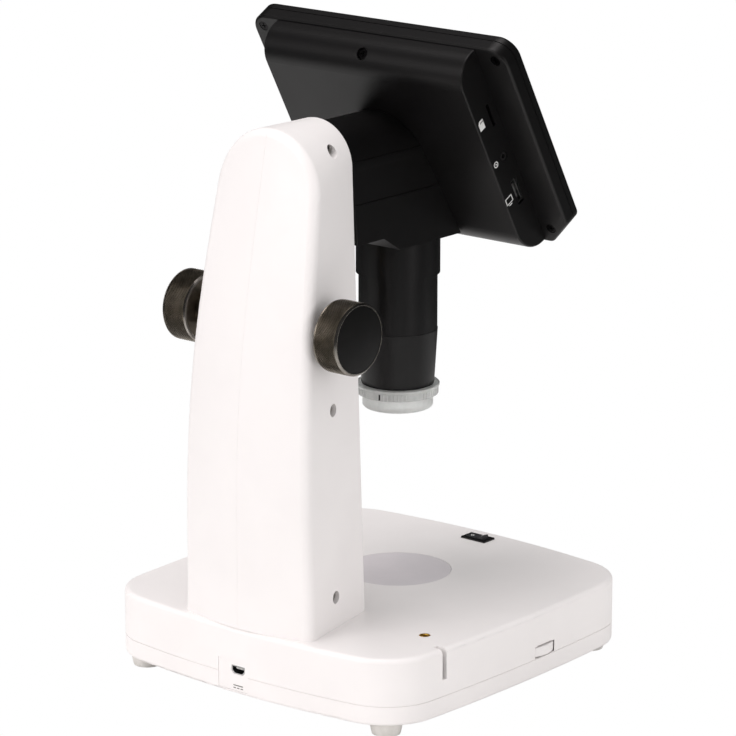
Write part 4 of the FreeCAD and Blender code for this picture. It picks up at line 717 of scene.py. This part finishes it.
# the ring that turns on the nose: ribbed grip, a scale of short strokes and a black index stroke
def noseRing():
    ring = {"bore": 14.4, "grip": 0.45, "flange": 1.4, "ribs": 7, "groups": 6, "ribStepDeg": 5.2,
            "firstRibDeg": 6.0, "ribHeight": 2.9, "ribWidth": 0.8, "ribDepth": 0.7, "strokes": 3,
            "strokeHeight": 0.55, "strokeWidth": 0.75, "strokeDepth": 0.5, "strokeBelowTop": 0.62,
            "indexDeg": 103.0, "indexSize": (0.8, 1.0, 2.6)}
    low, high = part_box("nose_ring")
    tall = (high.z - low.z) / mm
    outer = (high.x - low.x) / mm / 2
    wall = outer - ring["grip"]
    under = tall - ring["flange"]
    bm = bmesh.new()
    turnProfile(bm, [(0.0, ring["bore"]), (0.0, wall - 0.3), (0.3, wall), (under, wall),
                     (under + 0.2, outer - 0.1), (under + 0.4, outer), (tall - 0.3, outer),
                     (tall, outer - 0.3), (tall, ring["bore"]), (0.0, ring["bore"])],
                (barrelLine.x, barrelLine.y, low.z), (0, 0, 1), 128)
    clear = finishes["clear_acrylic"]
    newPiece("clear_ring", meshFrom(bm, "ring", clear), "nose_cap", "clear_acrylic", "nose_ring")
    middle = Vector((barrelLine.x, barrelLine.y, low.z + under / 2 * mm))
    upper = Vector((barrelLine.x, barrelLine.y, high.z - ring["strokeBelowTop"] * mm))
    step = math.radians(ring["ribStepDeg"])
    ribSize = Vector((ring["ribDepth"], ring["ribWidth"], ring["ribHeight"])) * mm
    strokeSize = Vector((ring["strokeDepth"], ring["strokeWidth"], ring["strokeHeight"])) * mm
    for group in range(ring["groups"]):
        first = math.radians(360 / ring["groups"] * group + ring["indexDeg"] + ring["firstRibDeg"])
        ribs = growMesh("ribs", trees["ribs"], {
            "Ribs": ring["ribs"], "First Turn": first, "Turn Step": step, "Radius": (wall - 0.05) * mm,
            "Rib Size": ribSize, "Middle": middle, "Plastic": clear})
        newPiece("clear_ring_ribs_" + str(group + 1), ribs, "nose_cap", "clear_acrylic")
        for half in (0, 4):
            strokes = growMesh("strokes", trees["ribs"], {
                "Ribs": ring["strokes"], "First Turn": first + half * step, "Turn Step": step,
                "Radius": (outer - 0.28) * mm, "Rib Size": strokeSize, "Middle": upper, "Plastic": greyInk})
            strokesName = "ring_strokes_" + str(group + 1) + "_" + str(half)
            newPiece(strokesName, strokes, "nose_cap", "clear_acrylic")
    index = growMesh("index", trees["ribs"], {
        "Ribs": 1, "First Turn": math.radians(ring["indexDeg"]), "Turn Step": 0.0,
        "Radius": (wall - 0.2) * mm, "Rib Size": Vector(ring["indexSize"]) * mm, "Middle": middle,
        "Plastic": blackInk})
    newPiece("ring_index_stroke", index, "nose_cap", "clear_acrylic")


# the cup under the ring: thin wall, rounded foot, open in the middle
def noseCup():
    cup = {"wall": 1.1, "round": 1.4, "floorRim": 3.0}
    low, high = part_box("nose_cup")
    tall = (high.z - low.z) / mm
    outer = (high.x - low.x) / mm / 2
    profile = [(tall, outer - cup["wall"]), (tall, outer)]
    for i in range(7):
        turn = math.radians(15 * i)
        profile.append((cup["round"] * (1 - math.sin(turn)), outer - cup["round"] * (1 - math.cos(turn))))
    rim = outer - cup["floorRim"]
    profile += [(0.0, rim), (0.35, rim - 0.3), (cup["wall"] + 0.3, outer - cup["wall"] - 0.9),
                (cup["wall"] + 1.2, outer - cup["wall"]), (tall, outer - cup["wall"])]
    bm = bmesh.new()
    turnProfile(bm, profile, (barrelLine.x, barrelLine.y, low.z), (0, 0, 1), 128)
    newPiece("etched_cup", meshFrom(bm, "cup", diffuser), "nose_cap", "clear_acrylic", "nose_cup")


noseRing()
noseCup()
print("clear ring, its ribs and the cup made")


# where a line from a start point first meets a node: the place, and the right and up ways along the surface
def seat(nodeName, start, direction, up):
    data = frame["nodes"][nodeName].data
    surface = BVHTree.FromPolygons([v.co for v in data.vertices], [p.vertices for p in data.polygons])
    place, normal, *_ = surface.ray_cast(Vector(start), Vector(direction))
    if normal.dot(Vector(direction)) > 0:
        normal = -normal
    right = Vector(up).cross(normal).normalized()
    return place, right, normal.cross(right)


def bar(x, y, width, height):
    return [(x - width / 2, y - height / 2), (x + width / 2, y - height / 2), (x + width / 2, y + height / 2),
            (x - width / 2, y + height / 2)]


# a round band from one turn to another, as a row of four-sided outlines
def arcBand(inner, outer, fromDeg=0, toDeg=360, steps=24):
    turns = [math.radians(fromDeg + (toDeg - fromDeg) * i / steps) for i in range(steps + 1)]
    return [[(inner * math.cos(a), inner * math.sin(a)), (outer * math.cos(a), outer * math.sin(a)),
             (outer * math.cos(b), outer * math.sin(b)), (inner * math.cos(b), inner * math.sin(b))]
            for a, b in zip(turns, turns[1:])]


# thin printed outlines, in millimetres on the surface; their backs sink a little into it
def printMark(name, spot, outlines, body, slot, material, thick=0.05):
    place, right, up = spot
    sink = 0.03
    out = right.cross(up)
    bm = bmesh.new()
    for outline in outlines:
        lower = [bm.verts.new(place + (right * x + up * y - out * sink) * mm) for x, y in outline]
        upper = [bm.verts.new(place + (right * x + up * y + out * thick) * mm) for x, y in outline]
        bm.faces.new(upper)
        bm.faces.new(lower[::-1])
        for i in range(len(outline)):
            j = (i + 1) % len(outline)
            bm.faces.new((lower[i], lower[j], upper[j], upper[i]))
    return newPiece(name, meshFrom(bm, name, material), body, slot)


# plain signs beside the ports: a card with a cut corner, a round plug, a screen
def portSigns():
    sign = {"behindPort": 6.6, "card": (3.6, 4.8), "cutCorner": 1.2, "plug": 1.5, "screen": (4.4, 3.0),
            "stroke": 0.45}
    wide, tall = sign["card"]
    cut = sign["cutCorner"]
    card = [[(-wide / 2, -tall / 2), (wide / 2, -tall / 2), (wide / 2, tall / 2),
             (-wide / 2 + cut, tall / 2), (-wide / 2, tall / 2 - cut)]]
    screenWide, screenTall = sign["screen"]
    stroke = sign["stroke"]
    screen = [bar(0, side * screenTall / 2, screenWide, stroke) for side in (1, -1)]
    screen += [bar(side * screenWide / 2, 0, stroke, screenTall + stroke) for side in (-1, 1)]
    screen.append(bar(0, -screenTall / 2 - 1.0, screenWide * 0.5, stroke))
    plug = arcBand(sign["plug"] * 0.68, sign["plug"]) + arcBand(0.0, 0.4, steps=12)
    signs = (("card_sign", "memory_card_socket", card), ("plug_sign", "av_jack", plug),
             ("screen_sign", "video_port", screen))
    for name, nodeName, outlines in signs:
        low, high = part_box(nodeName)
        start = (low + high) / 2 + intoDisplay * sign["behindPort"] * mm - acrossDisplay * 60 * mm
        spot = seat("display_rear_shell", start, acrossDisplay, -downDisplay)
        printMark(name, spot, outlines, "head", "black_abs", whiteInk)
        if nodeName == "memory_card_socket":
            contacts = [bar(x, tall / 2 - 1.1, 0.35, 1.1) for x in (-0.3, 0.5, 1.3)]
            printMark("card_sign_contacts", spot, contacts, "head", "black_abs", blackInk, 0.08)


# the sign for direct current under the power socket: a long stroke over three short ones
def powerSign():
    sign = {"below": 7.4, "width": 5.6, "stroke": 0.45}
    low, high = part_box("usb_power_socket")
    start = Vector(((low.x + high.x) / 2, high.y + 30 * mm, (low.z + high.z) / 2 - sign["below"] * mm))
    spot = seat("port_plate", start, (0, -1, 0), (0, 0, 1))
    short = sign["width"] / 4
    outlines = [bar(0, 0.7, sign["width"], sign["stroke"])]
    outlines += [bar(x, -0.5, short, sign["stroke"]) for x in (-1.5 * short, 0, 1.5 * short)]
    printMark("power_sign", spot, outlines, "stand", "white_abs", greyInk)


# a stroke and a ring on the switch, for on and off
def rockerSigns():
    sign = {"fromMiddle": 3.0, "stroke": 0.35, "size": 1.7}
    low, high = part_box("power_rocker")
    middle = (low + high) / 2
    for name, side, outlines in (
            ("rocker_on", -1, [bar(0, 0, sign["stroke"], sign["size"])]),
            ("rocker_off", 1, arcBand(sign["size"] / 2 - sign["stroke"], sign["size"] / 2))):
        start = middle + Vector((side * sign["fromMiddle"] * mm, 0, 30 * mm))
        spot = seat("power_rocker", start, (0, 0, -1), (0, 1, 0))
        printMark(name, spot, outlines, "rocker", "grey_key", whiteInk)


# the five keys under the screen, each with a plain sign
def keySigns():
    stroke = 0.34
    signs = {
        "power": arcBand(1.35, 1.35 + stroke, 125, 415) + [bar(0, 1.15, stroke, 1.5)],
        "menu": [bar(0, y, 3.0, stroke) for y in (-1.0, 0.0, 1.0)],
        "up": [[(-1.5, -0.9), (1.5, -0.9), (0.0, 1.3)]],
        "down": [[(0.0, -1.3), (1.5, 0.9), (-1.5, 0.9)]],
        "capture": arcBand(0.7, 0.7 + stroke) + [bar(0, 1.35, 3.8, stroke), bar(0, -1.35, 3.8, stroke),
                                                bar(-1.75, 0, stroke, 2.7), bar(1.75, 0, stroke, 2.7)],
    }
    for key, outlines in signs.items():
        nodeName = "button_" + key
        low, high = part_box(nodeName)
        start = (low + high) / 2 - intoDisplay * 30 * mm
        spot = seat(nodeName, start, intoDisplay, -downDisplay)
        printMark("key_sign_" + key, spot, outlines, nodeName + "_key", "grey_key", whiteInk)


# black printing under the cover glass, round the lit area
def screenMask():
    mask = {"edge": 0.3, "overPanel": 1.6, "behindGlass": 0.04, "thickness": 0.06}
    across = reachAlong("display_cover_glass", acrossDisplay)
    down = reachAlong("display_cover_glass", downDisplay)
    behind = reachAlong("display_cover_glass", intoDisplay)[1] - frontDepth + mask["behindGlass"] * mm
    panelAcross = reachAlong("display_panel", acrossDisplay)
    panelDown = reachAlong("display_panel", downDisplay)
    edge = mask["edge"] * mm
    cover = mask["overPanel"] * mm
    outer = (across[0] + edge, across[1] - edge, down[0] + edge - topEdge, down[1] - edge - topEdge)
    inner = (panelAcross[0] + cover, panelAcross[1] - cover,
             panelDown[0] + cover - topEdge, panelDown[1] - cover - topEdge)
    bm = bmesh.new()
    rings = []
    for depth in (behind, behind + mask["thickness"] * mm):
        for x0, x1, s0, s1 in (outer, inner):
            corners = ((x0, s0), (x1, s0), (x1, s1), (x0, s1))
            rings.append([bm.verts.new(onDisplay(x, s, depth)) for x, s in corners])
    for a, b in ((0, 1), (3, 2), (2, 0), (1, 3)):
        for i in range(4):
            j = (i + 1) % 4
            bm.faces.new((rings[a][i], rings[a][j], rings[b][j], rings[b][i]))
    newPiece("screen_mask", meshFrom(bm, "mask", blackInk), "head", "black_abs")


portSigns()
powerSign()
rockerSigns()
keySigns()
screenMask()
print("signs and screen mask printed")


# turned brass lining of the clip socket, with a rounded rim
def clipSocket():
    lining = {"bore": 1.5, "rim": 0.25}
    low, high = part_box("accessory_socket")
    tall = (high.z - low.z) / mm
    outer = (high.x - low.x) / mm / 2
    rim = lining["rim"]
    bore = lining["bore"]
    profile = [(0.0, 0.0), (0.0, outer), (tall - rim, outer), (tall, outer - rim), (tall, bore + rim),
               (tall - rim, bore), (1.0, bore), (0.8, 0.0)]
    bm = bmesh.new()
    turnProfile(bm, profile, ((low.x + high.x) / 2, (low.y + high.y) / 2, low.z), (0, 0, 1), 48)
    newPiece("brass_lining", meshFrom(bm, "lining", finishes["brass"]), "stand", "brass", "accessory_socket")


clipSocket()

# moulded edges of CAD pieces: a small break where two faces meet, its width in millimetres
edgeBreaks = {"column_left_half": 0.22, "column_right_half": 0.22, "button_power": 0.3, "button_menu": 0.3,
              "button_up": 0.3, "button_down": 0.3, "button_capture": 0.3}
for nodeName, width in edgeBreaks.items():
    softened = frame["nodes"][nodeName].modifiers.new("moulded_edge", "BEVEL")
    softened.width = width * mm
    softened.segments = 2
    softened.limit_method = "ANGLE"
    softened.angle_limit = math.radians(50)
print("socket lined, edges broken")


# the eye far off, as in the photograph; places in millimetres
def camera():
    view = {"from": (-1112.9, 1336.4, 609.6), "to": (-0.52, 1.88, 137.95), "lens": 194.7, "sensor": 36.0}
    data = bpy.data.cameras.new("product_camera")
    data.lens = view["lens"]
    data.sensor_width = view["sensor"]
    data.clip_start = 0.05
    data.clip_end = 60
    eye = bpy.data.objects.new("product_camera", data)
    scene.collection.objects.link(eye)
    eye.location = Vector(view["from"]) * mm
    towards = (Vector(view["to"]) - Vector(view["from"])).normalized()
    eye.rotation_mode = "QUATERNION"
    eye.rotation_quaternion = towards.to_track_quat("-Z", "Y")
    scene.camera = eye


def softbox(name, place, aim, size, power):
    data = bpy.data.lights.new(name, "AREA")
    data.shape = "RECTANGLE"
    data.size, data.size_y = size
    data.energy = power
    data.color = linearColour("#fffafa")[:3]
    lamp = bpy.data.objects.new(name, data)
    scene.collection.objects.link(lamp)
    lamp.location = place
    lamp.rotation_mode = "QUATERNION"
    lamp.rotation_quaternion = (Vector(aim) - Vector(place)).to_track_quat("-Z", "Y")


# white paper that only the camera sees, over a table that throws the light back up
def studio():
    room = {"paperHalf": 12.0, "tableHalf": 0.45, "tableHeight": -0.4,
            "skyOnObject": 0.72, "skyInGloss": 0.04}
    lamps = {
        "key_softbox": {"place": (0.55, 2.2, 1.0), "aim": (0, 0.05, 0.14), "size": (1.3, 1.3), "power": 17.5},
        "side_strip": {"place": (-2.2, 0.4, 0.5), "aim": (0, 0, 0.15), "size": (0.8, 1.2), "power": 7},
        "top_softbox": {"place": (0.3, 0.3, 2.2), "aim": (0, 0, 0.1), "size": (1.2, 1.2), "power": 18},
    }
    paper = startMaterial("paper_white", {
        "Base Color": linearColour("#000000"), "Specular IOR Level": 0.0,
        "Emission Color": linearColour("#ffffff"), "Emission Strength": 1.0})[0]
    table, tree, shader, place = startMaterial("table_white", {"Roughness": 0.9})
    mottle(tree, shader, place, 300, "#ededec", "#eaeae9", 0.85, 0.95)
    for name, half, height, material in (("paper", room["paperHalf"], 0.0, paper),
                                         ("table", room["tableHalf"], room["tableHeight"], table)):
        bm = bmesh.new()
        corners = [(-half, -half), (half, -half), (half, half), (-half, half)]
        bm.faces.new([bm.verts.new((x, y, height * mm)) for x, y in corners])
        sheet = bpy.data.objects.new(name, meshFrom(bm, name, material))
        scene.collection.objects.link(sheet)
        camerasOnly = name == "paper"
        sheet.visible_camera = camerasOnly
        sheet.visible_transmission = camerasOnly
        sheet.visible_diffuse = not camerasOnly
        sheet.visible_glossy = not camerasOnly
        sheet.visible_shadow = not camerasOnly
    scene.world = bpy.data.worlds.new("studio")
    scene.world.use_nodes = True
    tree = scene.world.node_tree
    tree.nodes.clear()
    ray = addNode(tree, "ShaderNodeLightPath").outputs
    direct = addNode(tree, "ShaderNodeMath", {
        0: ray["Is Camera Ray"], 1: ray["Is Transmission Ray"]}, operation="MAXIMUM")
    duller = addNode(tree, "ShaderNodeMapRange", {
        "Value": ray["Is Glossy Ray"], "To Min": room["skyOnObject"], "To Max": room["skyInGloss"]})
    strength = addNode(tree, "ShaderNodeMix", {
        0: direct.outputs[0], 2: duller.outputs["Result"], 3: 1.0})
    sky = addNode(tree, "ShaderNodeBackground", {
        "Color": linearColour("#ffffff"), "Strength": strength.outputs[0]})
    addNode(tree, "ShaderNodeOutputWorld", {"Surface": sky.outputs[0]})
    for name, lamp in lamps.items():
        softbox(name, lamp["place"], lamp["aim"], lamp["size"], lamp["power"])
    scene.view_settings.view_transform = "Standard"


camera()
studio()
print("camera and studio set")
